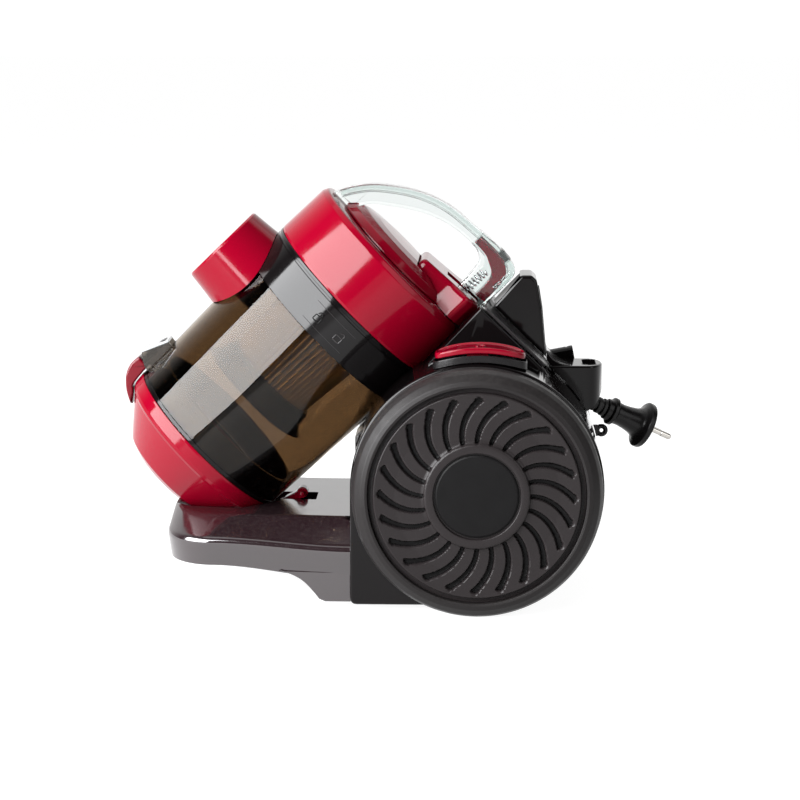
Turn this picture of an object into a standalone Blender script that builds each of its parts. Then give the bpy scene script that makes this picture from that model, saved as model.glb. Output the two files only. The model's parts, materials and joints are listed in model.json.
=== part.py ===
"""Bagless canister vacuum cleaner, built as an assembly of separate sub-parts.

Frame: metres, +Z up, front of the cleaner towards -Y, its left side towards +X.
The driving dimensions are named below. Two empties carry the parts: "chassis" sits
over the rear axle line on the floor, and "bin_axis" lies along the dust container's
axis, local +Z pointing from the bin flap to the lid and local -Y towards the handle.
"""

import math

import bmesh
import bpy
from mathutils import Matrix, Vector

MM = 0.001
GAP = 0.0003

# Overall layout
AXLE_Y = 0.0578
WHEEL_R = 0.092
WHEEL_IN = 0.1135
HOUSING_HALF = 0.112
DRUM_R = 0.0935
SHELL = 0.0028
FLOOR_GAP = 0.005

# Dust container on its inclined axis
BIN_START_Y = -0.2085
BIN_START_Z = 0.1106
BIN_TILT = math.radians(46.0)
BIN_LENGTH = 0.1557
BIN_R_LOW = 0.0704
BIN_R_HIGH = 0.0768
BIN_WALL = 0.0024
RING_START = 0.1234
LID_TOP = 0.203
CRADLE_CLEAR = 0.0016

# Hose inlet on the container
INLET_S = 0.1135
INLET_FACE = 0.1005
INLET_R = 0.0340
INLET_BORE = 0.0215

# Bin flap hinge and latch
FLAP_HINGE_S = 0.0226
FLAP_HINGE_H = -0.0812

# Cord, reel and motor
CORD_R = 0.0032
CORD_X = -0.0420
CORD_DROP = math.radians(25.0)
CORD_YAW = math.radians(16.0)
NECK_Y = 0.1004
NECK_Z = 0.1278
REEL_Y = 0.008
REEL_Z = 0.092
REEL_IN = -0.013
REEL_OUT = -0.062
MOTOR_Y = 0.020
MOTOR_Z = 0.084

CASTOR_Y = -0.128
CASTOR_TRAIL = 0.007
CASTOR_R = 0.0115

ROUND = 32

COLLECTION = "canister_vacuum_cleaner"
CUTTERS = "cutters"


# ---------------------------------------------------------------- scene helpers

def clear_scene():
    """Remove every object and the data that came with it."""
    for item in list(bpy.data.objects):
        bpy.data.objects.remove(item, do_unlink=True)
    for mesh in list(bpy.data.meshes):
        bpy.data.meshes.remove(mesh)


def collection(name):
    """A collection linked to the scene."""
    found = bpy.data.collections.new(name)
    bpy.context.scene.collection.children.link(found)
    return found


def material(name, color, roughness, metallic=0.0, alpha=1.0):
    """A Principled material."""
    mat = bpy.data.materials.new(name)
    mat.use_nodes = True
    shader = mat.node_tree.nodes["Principled BSDF"]
    shader.inputs["Base Color"].default_value = (*color, 1.0)
    shader.inputs["Roughness"].default_value = roughness
    shader.inputs["Metallic"].default_value = metallic
    shader.inputs["Alpha"].default_value = alpha
    return mat


def empty(name, location, rotation=(0.0, 0.0, 0.0), parent=None):
    """An empty that carries parts."""
    item = bpy.data.objects.new(name, None)
    item.location = location
    item.rotation_euler = rotation
    item.parent = parent
    PARTS.objects.link(item)
    return item


def make(name, mesh, parent, mat=None, location=(0, 0, 0), rotation=(0, 0, 0)):
    """An object in the parts collection, or a cutter when it has no material."""
    item = bpy.data.objects.new(name, mesh)
    item.location = location
    item.rotation_euler = rotation
    item.parent = parent
    if mat is None:
        TOOLS.objects.link(item)
        item.hide_render = True
        item.display_type = "WIRE"
    else:
        PARTS.objects.link(item)
        mesh.materials.append(mat)
    return item


def mesh_from(name, bm):
    """A mesh from a finished bmesh, with its normals outward."""
    bmesh.ops.recalc_face_normals(bm, faces=bm.faces)
    mesh = bpy.data.meshes.new(name)
    bm.to_mesh(mesh)
    bm.free()
    return mesh


def box(name, low, high, parent, mat=None, bevel=0.0):
    """A box between two corners."""
    bm = bmesh.new()
    size = Vector(high) - Vector(low)
    middle = (Vector(high) + Vector(low)) / 2
    bmesh.ops.create_cube(bm, size=1.0)
    bmesh.ops.scale(bm, vec=size, verts=bm.verts)
    item = make(name, mesh_from(name, bm), parent, mat, middle)
    if bevel:
        soften(item, bevel)
    return item


def soften(item, width, segments=1, angle=40.0):
    """Round the sharp edges."""
    mod = item.modifiers.new("edges", "BEVEL")
    mod.width = width
    mod.segments = segments
    mod.limit_method = "ANGLE"
    mod.angle_limit = math.radians(angle)


def turned(name, profile, parent, mat=None, steps=ROUND, closed=False, **place):
    """A turned body about its local Z from (radius, height) points."""
    mesh = bpy.data.meshes.new(name)
    verts = [(radius, 0.0, height) for radius, height in profile]
    edges = [(i, i + 1) for i in range(len(verts) - 1)]
    if closed:
        edges.append((len(verts) - 1, 0))
    mesh.from_pydata(verts, edges, [])
    item = make(name, mesh, parent, mat, **place)
    screw = item.modifiers.new("turn", "SCREW")
    screw.axis = "Z"
    screw.steps = steps
    screw.render_steps = steps
    screw.use_merge_vertices = True
    screw.merge_threshold = 0.00001
    return item


def prism(name, outline, low, high, axis, parent, mat=None, bevel=0.0):
    """A flat outline extruded along axis "X" or "Z" from low to high."""
    bm = bmesh.new()
    if axis == "X":
        base = [bm.verts.new((low, a, b)) for a, b in outline]
        step = Vector((high - low, 0, 0))
    else:
        base = [bm.verts.new((a, b, low)) for a, b in outline]
        step = Vector((0, 0, high - low))
    face = bm.faces.new(base)
    grown = bmesh.ops.extrude_face_region(bm, geom=[face])
    moved = [v for v in grown["geom"] if isinstance(v, bmesh.types.BMVert)]
    bmesh.ops.translate(bm, vec=step, verts=moved)
    item = make(name, mesh_from(name, bm), parent, mat)
    if bevel:
        soften(item, bevel)
    return item


def loft(name, rings, parent, mat=None):
    """A closed body through rings that have the same number of points."""
    bm = bmesh.new()
    loops = [[bm.verts.new(point) for point in ring] for ring in rings]
    count = len(loops[0])
    for lower, upper in zip(loops, loops[1:]):
        for i in range(count):
            j = (i + 1) % count
            bm.faces.new((lower[i], lower[j], upper[j], upper[i]))
    bm.faces.new(list(reversed(loops[0])))
    bm.faces.new(loops[-1])
    return make(name, mesh_from(name, bm), parent, mat)


def tube(name, points, radius, parent, mat, resolution=2, cyclic=False):
    """A round wire through points, as a mesh with welded caps."""
    curve = bpy.data.curves.new(name, "CURVE")
    curve.dimensions = "3D"
    curve.bevel_depth = radius
    curve.bevel_resolution = resolution
    curve.use_fill_caps = not cyclic
    spline = curve.splines.new("POLY")
    spline.points.add(len(points) - 1)
    for spot, point in zip(spline.points, points):
        spot.co = (*point, 1.0)
    spline.use_cyclic_u = cyclic
    guide = bpy.data.objects.new(name + "_guide", curve)
    bpy.context.scene.collection.objects.link(guide)
    bpy.context.view_layer.update()
    graph = bpy.context.evaluated_depsgraph_get()
    mesh = bpy.data.meshes.new_from_object(guide.evaluated_get(graph))
    bpy.data.objects.remove(guide, do_unlink=True)
    bm = bmesh.new()
    bm.from_mesh(mesh)
    bmesh.ops.remove_doubles(bm, verts=bm.verts, dist=0.00001)
    bpy.data.meshes.remove(mesh)
    return make(name, mesh_from(name, bm), parent, mat)


def boolean(item, tool, operation="DIFFERENCE"):
    """Cut with, join to, or intersect with another body."""
    mod = item.modifiers.new(tool.name, "BOOLEAN")
    mod.operation = operation
    mod.solver = "EXACT"
    mod.object = tool
    return item


def arc(centre, radius, start, end, count):
    """Points on an arc, angles in degrees from the first axis."""
    points = []
    for i in range(count):
        angle = math.radians(start + (end - start) * i / (count - 1))
        points.append((centre[0] + radius * math.cos(angle), centre[1] + radius * math.sin(angle)))
    return points


def smooth(points, per_span=4, cyclic=False):
    """A Catmull-Rom curve through hand-placed points."""
    spots = [Vector(p) for p in points]
    count = len(spots)
    spans = count if cyclic else count - 1
    result = []
    for i in range(spans):
        before = spots[(i - 1) % count] if cyclic or i > 0 else spots[0]
        start = spots[i]
        end = spots[(i + 1) % count]
        after = spots[(i + 2) % count] if cyclic or i + 2 < count else spots[-1]
        for k in range(per_span):
            t = k / per_span
            value = 0.5 * (
                2 * start + (end - before) * t
                + (2 * before - 5 * start + 4 * end - after) * t * t
                + (3 * start - before - 3 * end + after) * t ** 3
            )
            result.append(tuple(value))
    if not cyclic:
        result.append(tuple(spots[-1]))
    return result


def bin_radius(s):
    """Outer radius of the container's wall at distance s along its axis."""
    return BIN_R_LOW + (BIN_R_HIGH - BIN_R_LOW) * s / BIN_LENGTH


def in_bin(points):
    """Container outline points (s, h) as local (y, z) pairs."""
    return [(-h * MM, s * MM) for s, h in points]


def along_x(**place):
    """Placement that turns local Z to world +X."""
    place["rotation"] = (0.0, math.radians(90.0), 0.0)
    return place


# ---------------------------------------------------------------- cutters

def cradle_cutter(name, extra, parent):
    """The trough that the container rests in, open at both ends."""
    clear = CRADLE_CLEAR + extra
    profile = [
        (0.0, 0.262),
        (BIN_R_HIGH + clear, 0.262),
        (BIN_R_HIGH + clear, BIN_LENGTH),
        (BIN_R_LOW + clear, 0.0),
        (BIN_R_LOW + clear, -0.012),
        (0.050 + clear, -0.0385),
        (0.036 + clear, -0.0475 - extra),
        (0.0, -0.0482 - extra),
    ]
    return turned(name, profile, parent, steps=36)


def hinge_pocket(name, extra, chassis):
    """Pocket in the tray that the flap's hinge and arm stand in, open above."""
    low = (-0.0145 - extra, -0.1725 - extra, 0.0500 - extra)
    high = (0.0145 + extra, -0.1245 + extra, 0.0900)
    return box(name, low, high, chassis)


# ---------------------------------------------------------------- housing

def drum_outline(inset):
    """Side outline of the rear drum with its square lower front corner."""
    radius = DRUM_R - inset
    start = math.degrees(math.asin((0.092 - FLOOR_GAP - inset) / radius))
    points = arc((0.0, 0.092), radius, -start, 180.0, 22)
    points.append((-radius, FLOOR_GAP + inset))
    return points


def saddle_outline(inset):
    """Side outline of the centre block that carries the container."""
    slope = inset * 1.2
    return [
        (-0.092 + inset, 0.060),
        (-0.092 + inset, 0.1218 - slope),
        (0.0022, 0.2200 - slope * 1.2),
        (0.0488 - inset, 0.1750 - slope),
        (0.0798 - inset, 0.1361 - slope * 0.4),
        (0.0700, 0.060),
    ]


def housing(chassis, bin_axis, line, mat):
    """Rear body: drum between the wheels and the saddle under the container."""
    body = prism("housing", drum_outline(0), -HOUSING_HALF, HOUSING_HALF, "X", chassis, mat)
    saddle = prism("saddle_solid", saddle_outline(0), -0.060, 0.060, "X", chassis)
    boolean(body, saddle, "UNION")
    boolean(body, cradle_cutter("cradle_cut", 0.0, bin_axis))

    half = HOUSING_HALF - SHELL
    hollow = prism("housing_hollow", drum_outline(SHELL), -half, half, "X", chassis)
    inner = prism("saddle_hollow", saddle_outline(SHELL), -0.0572, 0.0572, "X", chassis)
    boolean(hollow, inner, "UNION")
    boolean(hollow, cradle_cutter("cradle_wall", 0.0026, bin_axis))
    boolean(body, hollow)

    mouth = box("service_mouth", (-0.098, -0.084, -0.01), (0.098, 0.0255, 0.012), chassis)
    boolean(body, mouth)
    for side in (-1, 1):
        hub = turned(
            f"axle_hole_{side}", [(0, 0.02), (0.0055, 0.02), (0.0055, -0.02), (0, -0.02)], chassis,
            steps=16, **along_x(location=(side * 0.112, 0, 0.092)),
        )
        boolean(body, hub)
        stem = box(f"stem_hole_{side}", (-0.0075, -0.0095, 0.170), (0.0075, 0.0095, 0.200), chassis)
        stem.location.x = side * 0.0945
        boolean(body, stem)
    boolean(body, cord_passage("cord_hole", 0.0107, line))
    return body


def underside_plate(chassis, mat):
    """Service plate that closes the housing from below."""
    plate = box("underside_plate", (-0.0975, -0.0835, 0.0035), (0.0975, 0.0250, 0.0075), chassis, mat)
    for k in range(5):
        x = (k - 2) * 0.016
        slot = box(f"plate_slot_{k}", (x - 0.003, -0.036, 0.0), (x + 0.003, 0.002, 0.012), chassis)
        boolean(plate, slot)
    return plate


def ridge_strip(chassis, bin_axis, mat):
    """Grey strip that follows the saddle's rear ridge."""
    line = [(0.0044, 0.2187), (0.0491, 0.1754)]
    normal = Vector((0.7071, 0.7071))
    points = []
    for lift in (0.0004, 0.0028):
        row = [(a + normal.x * lift, b + normal.y * lift) for a, b in line]
        points += row if lift < 0.001 else list(reversed(row))
    strip = prism("ridge_strip", points, -0.0590, 0.0590, "X", chassis, mat)
    boolean(strip, cradle_cutter("strip_cradle", 0.0004, bin_axis))
    return strip


def rear_tower(chassis, bin_axis, mat):
    """Raised tower behind the handle, with the catch that holds the container."""
    outline = [(0.0120, 0.2164), (0.0324, 0.2399), (0.0405, 0.2399), (0.0445, 0.2362)]
    outline += [(0.0485, 0.2150), (0.0508, 0.1900), (0.0520, 0.1773)]
    tower = prism("rear_tower", outline, -0.021, 0.021, "X", chassis, mat)
    soften(tower, 0.0018)
    hollow = [(0.0073, 0.2072), (0.0334, 0.2373), (0.0398, 0.2373), (0.0419, 0.2350)]
    hollow += [(0.0458, 0.2148), (0.0481, 0.1900), (0.0490, 0.1600)]
    boolean(tower, prism("tower_hollow", hollow, -0.0185, 0.0185, "X", chassis))
    boolean(tower, cradle_cutter("tower_cradle", 0.0004, bin_axis))
    return tower


def name_of(side):
    """Name of a side: +X is the cleaner's left."""
    return "left" if side > 0 else "right"


# ---------------------------------------------------------------- front tray

def tray_ring(half, front, rear, height, corner, tilt=0.0):
    """Plan outline of the tray at one height, from the rear left round the nose."""
    ring = [(half, rear, height)]
    side_steps = 3
    for k in range(1, side_steps + 1):
        y = rear + (front + corner - rear) * k / side_steps
        ring.append((half - 0.002 * k / side_steps, y, height + tilt * k / side_steps))
    turn = 4
    for k in range(1, turn + 1):
        angle = math.radians(90.0 * k / turn)
        x = (half - 0.002) - corner * 1.25 * (1 - math.cos(angle))
        y = front + corner - corner * math.sin(angle)
        ring.append((x, y, height + tilt))
    mirrored = [(-x, y, z) for x, y, z in reversed(ring)]
    return ring + mirrored


def tray_body(name, inset, chassis, mat=None):
    """Solid of the tray: skirt, sloping shoulder and plateau."""
    drop = 0.030 if inset else 0.0
    rings = [
        tray_ring(0.1000 - inset, -0.2322 + inset, -0.0936 - inset, 0.0215 - drop, 0.036, 0.010),
        tray_ring(0.1035 - inset, -0.2340 + inset, -0.0936 - inset, 0.0425 - inset * 0.6, 0.036, 0.006),
        tray_ring(0.0985 - inset, -0.2318 + inset, -0.0936 - inset, 0.0478 - inset, 0.036, 0.006),
        tray_ring(0.0790 - inset, -0.2240 + inset, -0.0936 - inset, 0.0618 - inset, 0.040, 0.002),
        tray_ring(0.0730 - inset, -0.2210 + inset, -0.0936 - inset, 0.0640 - inset, 0.040, 0.001),
    ]
    return loft(name, rings, chassis, mat)


def base_tray(chassis, bin_axis, mat):
    """Front tray under the container, joined to the housing's front wall."""
    tray = tray_body("base_tray", 0.0, chassis, mat)
    boolean(tray, cradle_cutter("tray_recess", 0.0, bin_axis))
    boolean(tray, hinge_pocket("tray_pocket", 0.0, chassis))
    hollow = tray_body("tray_hollow", 0.0026, chassis)
    boolean(hollow, cradle_cutter("tray_recess_wall", 0.0024, bin_axis))
    boolean(hollow, hinge_pocket("tray_pocket_wall", 0.0022, chassis))
    boolean(tray, hollow)
    return tray


def tray_foot(chassis, mat):
    """Low block behind the skirt that bridges tray and housing near the floor."""
    outline = [(-0.0936, 0.0045), (-0.0936, 0.0208), (-0.1290, 0.0208), (-0.1235, 0.0170),
               (-0.1150, 0.0075), (-0.1090, 0.0050)]
    foot = prism("tray_foot", outline, -0.0975, 0.0975, "X", chassis, mat)
    pocket = [(0, 0.05), (0.0300, 0.05), (0.0300, -0.05), (0, -0.05)]
    boolean(foot, turned("foot_pocket", pocket, chassis, steps=20, location=(0, CASTOR_Y, 0.0)))
    return foot


def castor_socket(chassis, mat):
    """Bearing plate of the castor under the tray."""
    profile = [(0.0036, 0.0395), (0.0240, 0.0395), (0.0240, 0.0345), (0.0036, 0.0345)]
    socket = turned("castor_socket", profile, chassis, mat, steps=20, closed=True, location=(0, CASTOR_Y, 0))
    return socket


def castor(chassis, metal, rubber):
    """Swivelling front castor: fork with its stem, wheel and pin."""
    pivot = empty("castor_swivel_axis", (0, CASTOR_Y, 0), parent=chassis)
    fork = turned("castor_fork", [(0, 0.0390), (0.0033, 0.0390), (0.0033, 0.0330), (0.0125, 0.0316),
                                  (0.0125, 0.0270), (0, 0.0270)], pivot, metal, steps=20)
    for side in (-1, 1):
        low, high = sorted((side * 0.0072, side * 0.0092))
        points = arc((CASTOR_TRAIL, CASTOR_R), 0.0052, -180, 0, 7) + [(0.0100, 0.0290), (-0.0070, 0.0290)]
        boolean(fork, prism(f"fork_arm_{side}", points, low, high, "X", pivot), "UNION")
    pin = turned("castor_pin", [(0, 0.0090), (0.0018, 0.0090), (0.0018, -0.0090), (0, -0.0090)], pivot,
                 steps=12, **along_x(location=(0, CASTOR_TRAIL, CASTOR_R)))
    boolean(fork, pin, "UNION")
    side = CASTOR_R - 0.0022
    tread = [(0.0020, 0.0066), (side, 0.0066), (CASTOR_R, 0.0045), (CASTOR_R, -0.0045), (side, -0.0066),
             (0.0020, -0.0066)]
    turned("castor_wheel", tread, pivot, rubber, steps=24, closed=True,
           **along_x(location=(0, CASTOR_TRAIL, CASTOR_R)))


# ---------------------------------------------------------------- wheels

SLOTS = 24


def swirl_slot(name, index, parent):
    """One curved ventilation slot through the wheel disc."""
    half = 0.0013
    left, right = [], []
    for k in range(3):
        t = k / 2
        radius = 0.0405 + 0.0290 * t
        angle = math.radians(15.0 * index - 16.0 * t ** 1.6)
        spot = Vector((radius * math.cos(angle), radius * math.sin(angle)))
        normal = Vector((-math.sin(angle), math.cos(angle)))
        width = half * (0.7 if k == 0 else 1.0)
        left.append(tuple(spot + normal * width))
        right.append(tuple(spot - normal * width))
    return prism(name, left + list(reversed(right)), 0.010, 0.030, "Z", parent)


def slot_cutter(name, parent):
    """All the wheel's slots as one cutter body set."""
    bm = bmesh.new()
    for index in range(SLOTS):
        slot = swirl_slot(f"slot_{index}", index, parent)
        bm.from_mesh(slot.data)
        bpy.data.objects.remove(slot, do_unlink=True)
    return make(name, mesh_from(name, bm), parent)


def wheel(side, chassis, tyre_mat, disc_mat, label_mat, steel):
    """Rear wheel: tyre, slotted disc, hub cap, and the axle that it turns on."""
    tag = name_of(side)
    turn = (0.0, math.radians(90.0 * side), 0.0)
    hub = empty(f"wheel_{tag}_axis", (side * WHEEL_IN, 0, 0.092), turn, chassis)
    tyre = [(0.0798, 0.0234), (0.0826, 0.0236), (0.0872, 0.0206), (0.0903, 0.0160), (WHEEL_R, 0.0100),
            (WHEEL_R, 0.0020), (0.0905, 0.0), (0.0798, 0.0010)]
    turned(f"wheel_{tag}_tyre", tyre, hub, tyre_mat, steps=40, closed=True)
    disc = [(0.0051, 0.0208), (0.0316, 0.0208), (0.0318, 0.0240), (0.0380, 0.0240), (0.0390, 0.0214),
            (0.0752, 0.0222), (0.0752, 0.0176), (0.0795, 0.0176), (0.0795, 0.0014),
            (0.0768, 0.0014), (0.0768, 0.0150), (0.0725, 0.0190), (0.0140, 0.0182),
            (0.0140, 0.0008), (0.0051, 0.0008)]
    plate = turned(f"wheel_{tag}_disc", disc, hub, disc_mat, steps=40, closed=True)
    boolean(plate, slot_cutter(f"slots_{tag}", hub))
    cap = [(0, 0.0226), (0.0290, 0.0226), (0.0306, 0.0219), (0.0306, 0.0212), (0, 0.0212)]
    turned(f"wheel_{tag}_cap", cap, hub, label_mat, steps=28)
    pin = [(0, 0.0200), (0.0046, 0.0200), (0.0050, 0.0194), (0.0050, -0.0100), (0, -0.0100)]
    turned(f"axle_{tag}", pin, chassis, steel, steps=24, location=(side * WHEEL_IN, 0, 0.092), rotation=turn)


# ---------------------------------------------------------------- pedals

def arc_band(inner, outer, start, end, count=8):
    """Side outline of a band that follows the drum's top."""
    centre = (0.0018, 0.092)
    low = arc(centre, inner, start, end, count)
    high = arc(centre, outer, start, end, count)
    return high + list(reversed(low))


def pedal(side, chassis, mat, base_mat):
    """Foot pedal with its stem, on a fixed socket on top of the drum."""
    tag = name_of(side)
    middle = side * 0.0945
    band = arc_band(0.0943, 0.0966, 70.5, 110.5)
    socket = prism(f"pedal_socket_{tag}", band, middle - 0.0168, middle + 0.0168, "X", chassis, base_mat)
    hole = box(f"socket_hole_{tag}", (-0.0075, -0.0095, 0.170), (0.0075, 0.0095, 0.200), chassis)
    hole.location.x = middle
    boolean(socket, hole)
    band = arc_band(0.1010, 0.1052, 71.5, 108.5, 9)
    foot = prism(f"pedal_{tag}", band, middle - 0.0160, middle + 0.0160, "X", chassis, mat)
    soften(foot, 0.0012)
    stem = box(f"pedal_stem_{tag}", (-0.006, -0.008, 0.1800), (0.006, 0.008, 0.1945), chassis)
    stem.location.x = middle
    boolean(foot, stem, "UNION")


# ---------------------------------------------------------------- rear fittings

def rear_wall(lift):
    """Side outline that covers the housing's rear slope, raised by a small gap."""
    outline = [(0.0, 0.0900), (0.0, 0.2300), (0.0488 + lift, 0.1750 + lift)]
    return outline + arc((0.0, 0.092), DRUM_R + lift + 0.0002, 50.0, 1.0, 10)


def parking_bracket(chassis, mat):
    """Bracket with a vertical slot that takes the floor tool's parking hook."""
    plan = [(0.021, 0.045)]
    for k in range(7):
        angle = math.radians(180.0 * k / 6)
        plan.append((0.021 * math.cos(angle), 0.0840 + 0.0115 * math.sin(angle)))
    plan.append((-0.021, 0.045))
    bracket = prism("parking_bracket", plan, 0.1330, 0.1707, "Z", chassis, mat)
    soften(bracket, 0.0015)
    boolean(bracket, prism("bracket_seat", rear_wall(0.0006), -0.03, 0.03, "X", chassis))
    slot = []
    for end in (1, -1):
        for k in range(6):
            angle = math.radians(-90.0 + 180.0 * k / 5)
            slot.append((end * (0.0085 + 0.0052 * math.cos(angle)), 0.0853 + end * 0.0052 * math.sin(angle)))
    boolean(bracket, prism("bracket_slot", slot, 0.10, 0.20, "Z", chassis))
    return bracket


def accessory_peg(chassis, mat):
    """Short open tube above the bracket that stores a small nozzle."""
    profile = [(0.0058, 0.0270), (0.0076, 0.0270), (0.0076, 0.0), (0.0058, 0.0)]
    peg = turned("accessory_peg", profile, chassis, mat, steps=20, closed=True,
                 location=(-0.0320, 0.0485, 0.1666), rotation=(math.radians(-79.0), 0, 0))
    boolean(peg, prism("peg_seat", rear_wall(0.0005), -0.06, 0.06, "X", chassis))


def rear_eyelet(chassis, mat):
    """Small ring on a lug on the back of the drum."""
    points = []
    for k in range(16):
        angle = 2 * math.pi * k / 16
        points.append((-0.004, 0.0962 + 0.0037 * math.cos(angle), 0.1168 + 0.0037 * math.sin(angle)))
    ring = tube("rear_eyelet", points, 0.0014, chassis, mat, cyclic=True)
    boolean(ring, box("eyelet_lug", (-0.0060, 0.0870, 0.1140), (-0.0020, 0.0932, 0.1196), chassis), "UNION")
    boolean(ring, prism("eyelet_seat", rear_wall(0.0003), -0.02, 0.02, "X", chassis))


# ---------------------------------------------------------------- cord, plug and reel

def cord_axis(chassis):
    """Empty at the plug's neck, its local Z pointing out along the cord."""
    turn = (-(math.pi / 2 + CORD_DROP), 0.0, CORD_YAW)
    return empty("cord_axis", (CORD_X, NECK_Y, NECK_Z), turn, chassis)


def cord_point(distance):
    """Point on the cord's axis, measured outward from the plug's neck."""
    flat = math.cos(CORD_DROP)
    way = Vector((-flat * math.sin(CORD_YAW), flat * math.cos(CORD_YAW), -math.sin(CORD_DROP)))
    return Vector((CORD_X, NECK_Y, NECK_Z)) + way * distance


def cord_passage(name, radius, line):
    """Round hole through the housing along the cord's axis."""
    return turned(name, [(0, 0.006), (radius, 0.006), (radius, -0.054), (0, -0.054)], line, steps=20)


def cord_outlet(line, mat):
    """Flared bushing that the cord runs out through."""
    profile = [(0.0085, -0.0229), (0.0103, -0.0229), (0.0103, -0.0449), (0.0046, -0.0449)]
    profile.append((0.0046, -0.0289))
    turned("cord_outlet", profile, line, mat, steps=20, closed=True)


def plug(line, rubber, shell, metal):
    """Retracted plug: cord tail, ribbed strain relief, body and two pins."""
    tail = [(0, -0.0240), (CORD_R, -0.0240), (CORD_R, -0.0680), (0, -0.0680)]
    turned("cord_tail", tail, line, rubber, steps=10)
    ribs = [(0.0, 0.0)]
    for k in range(3):
        top = -0.0006 - 0.0076 * k
        radius = 0.0068 - 0.0008 * k
        ribs += [(radius, top), (radius, top - 0.0044), (radius - 0.0018, top - 0.0046)]
        ribs += [(radius - 0.0018, top - 0.0074)]
    ribs += [(0.0038, -0.0236), (0.0, -0.0236)]
    turned("strain_relief", ribs, line, rubber, steps=14)
    body = [(0, 0.0380), (0.0172, 0.0380), (0.0184, 0.0368), (0.0184, 0.0330), (0.0150, 0.0325),
            (0.0115, 0.0300), (0.0098, 0.0090), (0.0112, 0.0080), (0.0112, 0.0050), (0.0086, 0.0045),
            (0.0080, 0.0003), (0, 0.0003)]
    turned("plug_body", body, line, shell, steps=24)
    for side in (-1, 1):
        pin = [(0, 0.0570), (0.0014, 0.0570), (0.0024, 0.0556), (0.0024, 0.0383), (0, 0.0383)]
        item = turned(f"plug_pin_{name_of(side)}", pin, line, metal, steps=10)
        item.location.x = side * 0.0095


def reel(chassis, plastic, rubber, steel):
    """Cord reel with its winding, and the fixed shaft and spring beside it."""
    axis = empty("reel_axis", (0, REEL_Y, REEL_Z), (0, math.radians(90.0), 0), chassis)
    hub = 0.0232
    rim = 0.0560
    profile = [(0.0062, REEL_IN), (rim, REEL_IN), (rim, REEL_IN - 0.0022), (hub, REEL_IN - 0.0022),
               (hub, REEL_OUT + 0.0022), (rim, REEL_OUT + 0.0022), (rim, REEL_OUT), (0.0062, REEL_OUT)]
    turned("cord_reel", profile, axis, plastic, steps=28, closed=True)
    winding = [(0.0238, REEL_IN - 0.0026), (0.0462, REEL_IN - 0.0026), (0.0462, REEL_OUT + 0.0026),
               (0.0238, REEL_OUT + 0.0026)]
    turned("cord_winding", winding, axis, rubber, steps=28, closed=True)
    case = [(0, -0.0105), (0.0058, -0.0105), (0.0058, REEL_OUT - 0.0030), (0.0340, REEL_OUT - 0.0030),
            (0.0340, REEL_OUT - 0.0170), (0.0058, REEL_OUT - 0.0170), (0.0058, -0.0980), (0, -0.0980)]
    turned("reel_spring_case", case, axis, steel, steps=24)


def cord_run(chassis, rubber):
    """Cord between the top of the winding and its tail in the outlet."""
    end = cord_point(-0.0684)
    direction = (cord_point(-0.06) - end).normalized()
    route = [(CORD_X - 0.004, REEL_Y + 0.002, REEL_Z + 0.0500),
             (CORD_X - 0.003, REEL_Y + 0.012, REEL_Z + 0.0513),
             (CORD_X - 0.001, REEL_Y + 0.024, REEL_Z + 0.0530), tuple(end - direction * 0.012),
             tuple(end - direction * 0.004), tuple(end)]
    tube("cord_run", smooth(route, 3), CORD_R, chassis, rubber)


def reel_brake(chassis, plastic):
    """Lever that the rewind pedal pushes to free the reel."""
    outline = [(-0.010, 0.1660), (0.012, 0.1660), (0.012, 0.1700), (0.004, 0.1735), (-0.010, 0.1735)]
    prism("reel_brake", outline, -0.1010, -0.0660, "X", chassis, plastic)


# ---------------------------------------------------------------- motor and airway

def motor(chassis, plastic, steel, copper):
    """Motor with its fan, on a shaft across the housing's left half."""
    axis = empty("motor_axis", (0, MOTOR_Y, MOTOR_Z), (0, math.radians(90.0), 0), chassis)
    shroud = [(0.0560, 0.0280), (0.0585, 0.0280), (0.0585, 0.0040), (0.0170, 0.0040), (0.0170, 0.0066),
              (0.0560, 0.0066)]
    turned("fan_shroud", shroud, axis, plastic, steps=28, closed=True)
    fan = [(0, 0.0250), (0.0500, 0.0250), (0.0500, 0.0232), (0.0120, 0.0220), (0.0100, 0.0120),
           (0, 0.0120)]
    wheel_fan = turned("impeller", fan, axis, steel, steps=28)
    for k in range(7):
        angle = 2 * math.pi * k / 7
        blade = box(f"fan_blade_{k}", (0.0115, -0.0007, 0.0130), (0.0485, 0.0007, 0.0240), axis)
        blade.location = Matrix.Rotation(angle, 3, "Z") @ blade.location
        blade.rotation_euler = (0, 0, angle)
        boolean(wheel_fan, blade, "UNION")
    can = [(0.0042, 0.0980), (0.0400, 0.0980), (0.0450, 0.0930), (0.0450, 0.0312), (0.0545, 0.0312),
           (0.0545, 0.0290), (0.0420, 0.0290), (0.0420, 0.0318), (0.0042, 0.0318), (0.0042, 0.0350),
           (0.0415, 0.0350), (0.0415, 0.0920), (0.0385, 0.0948), (0.0042, 0.0948)]
    turned("motor_can", can, axis, steel, steps=20, closed=True)
    shaft = [(0, 0.1000), (0.0038, 0.1000), (0.0038, 0.0900), (0.0038, 0.0253), (0, 0.0253)]
    shaft_item = turned("motor_shaft", shaft, axis, steel, steps=14)
    core = [(0, 0.0880), (0.0240, 0.0880), (0.0240, 0.0400), (0, 0.0400)]
    boolean(shaft_item, turned("rotor_solid", core, axis, steps=20), "UNION")
    stator = [(0.0250, 0.0860), (0.0405, 0.0860), (0.0405, 0.0420), (0.0250, 0.0420)]
    turned("stator", stator, axis, copper, steps=24, closed=True)


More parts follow.
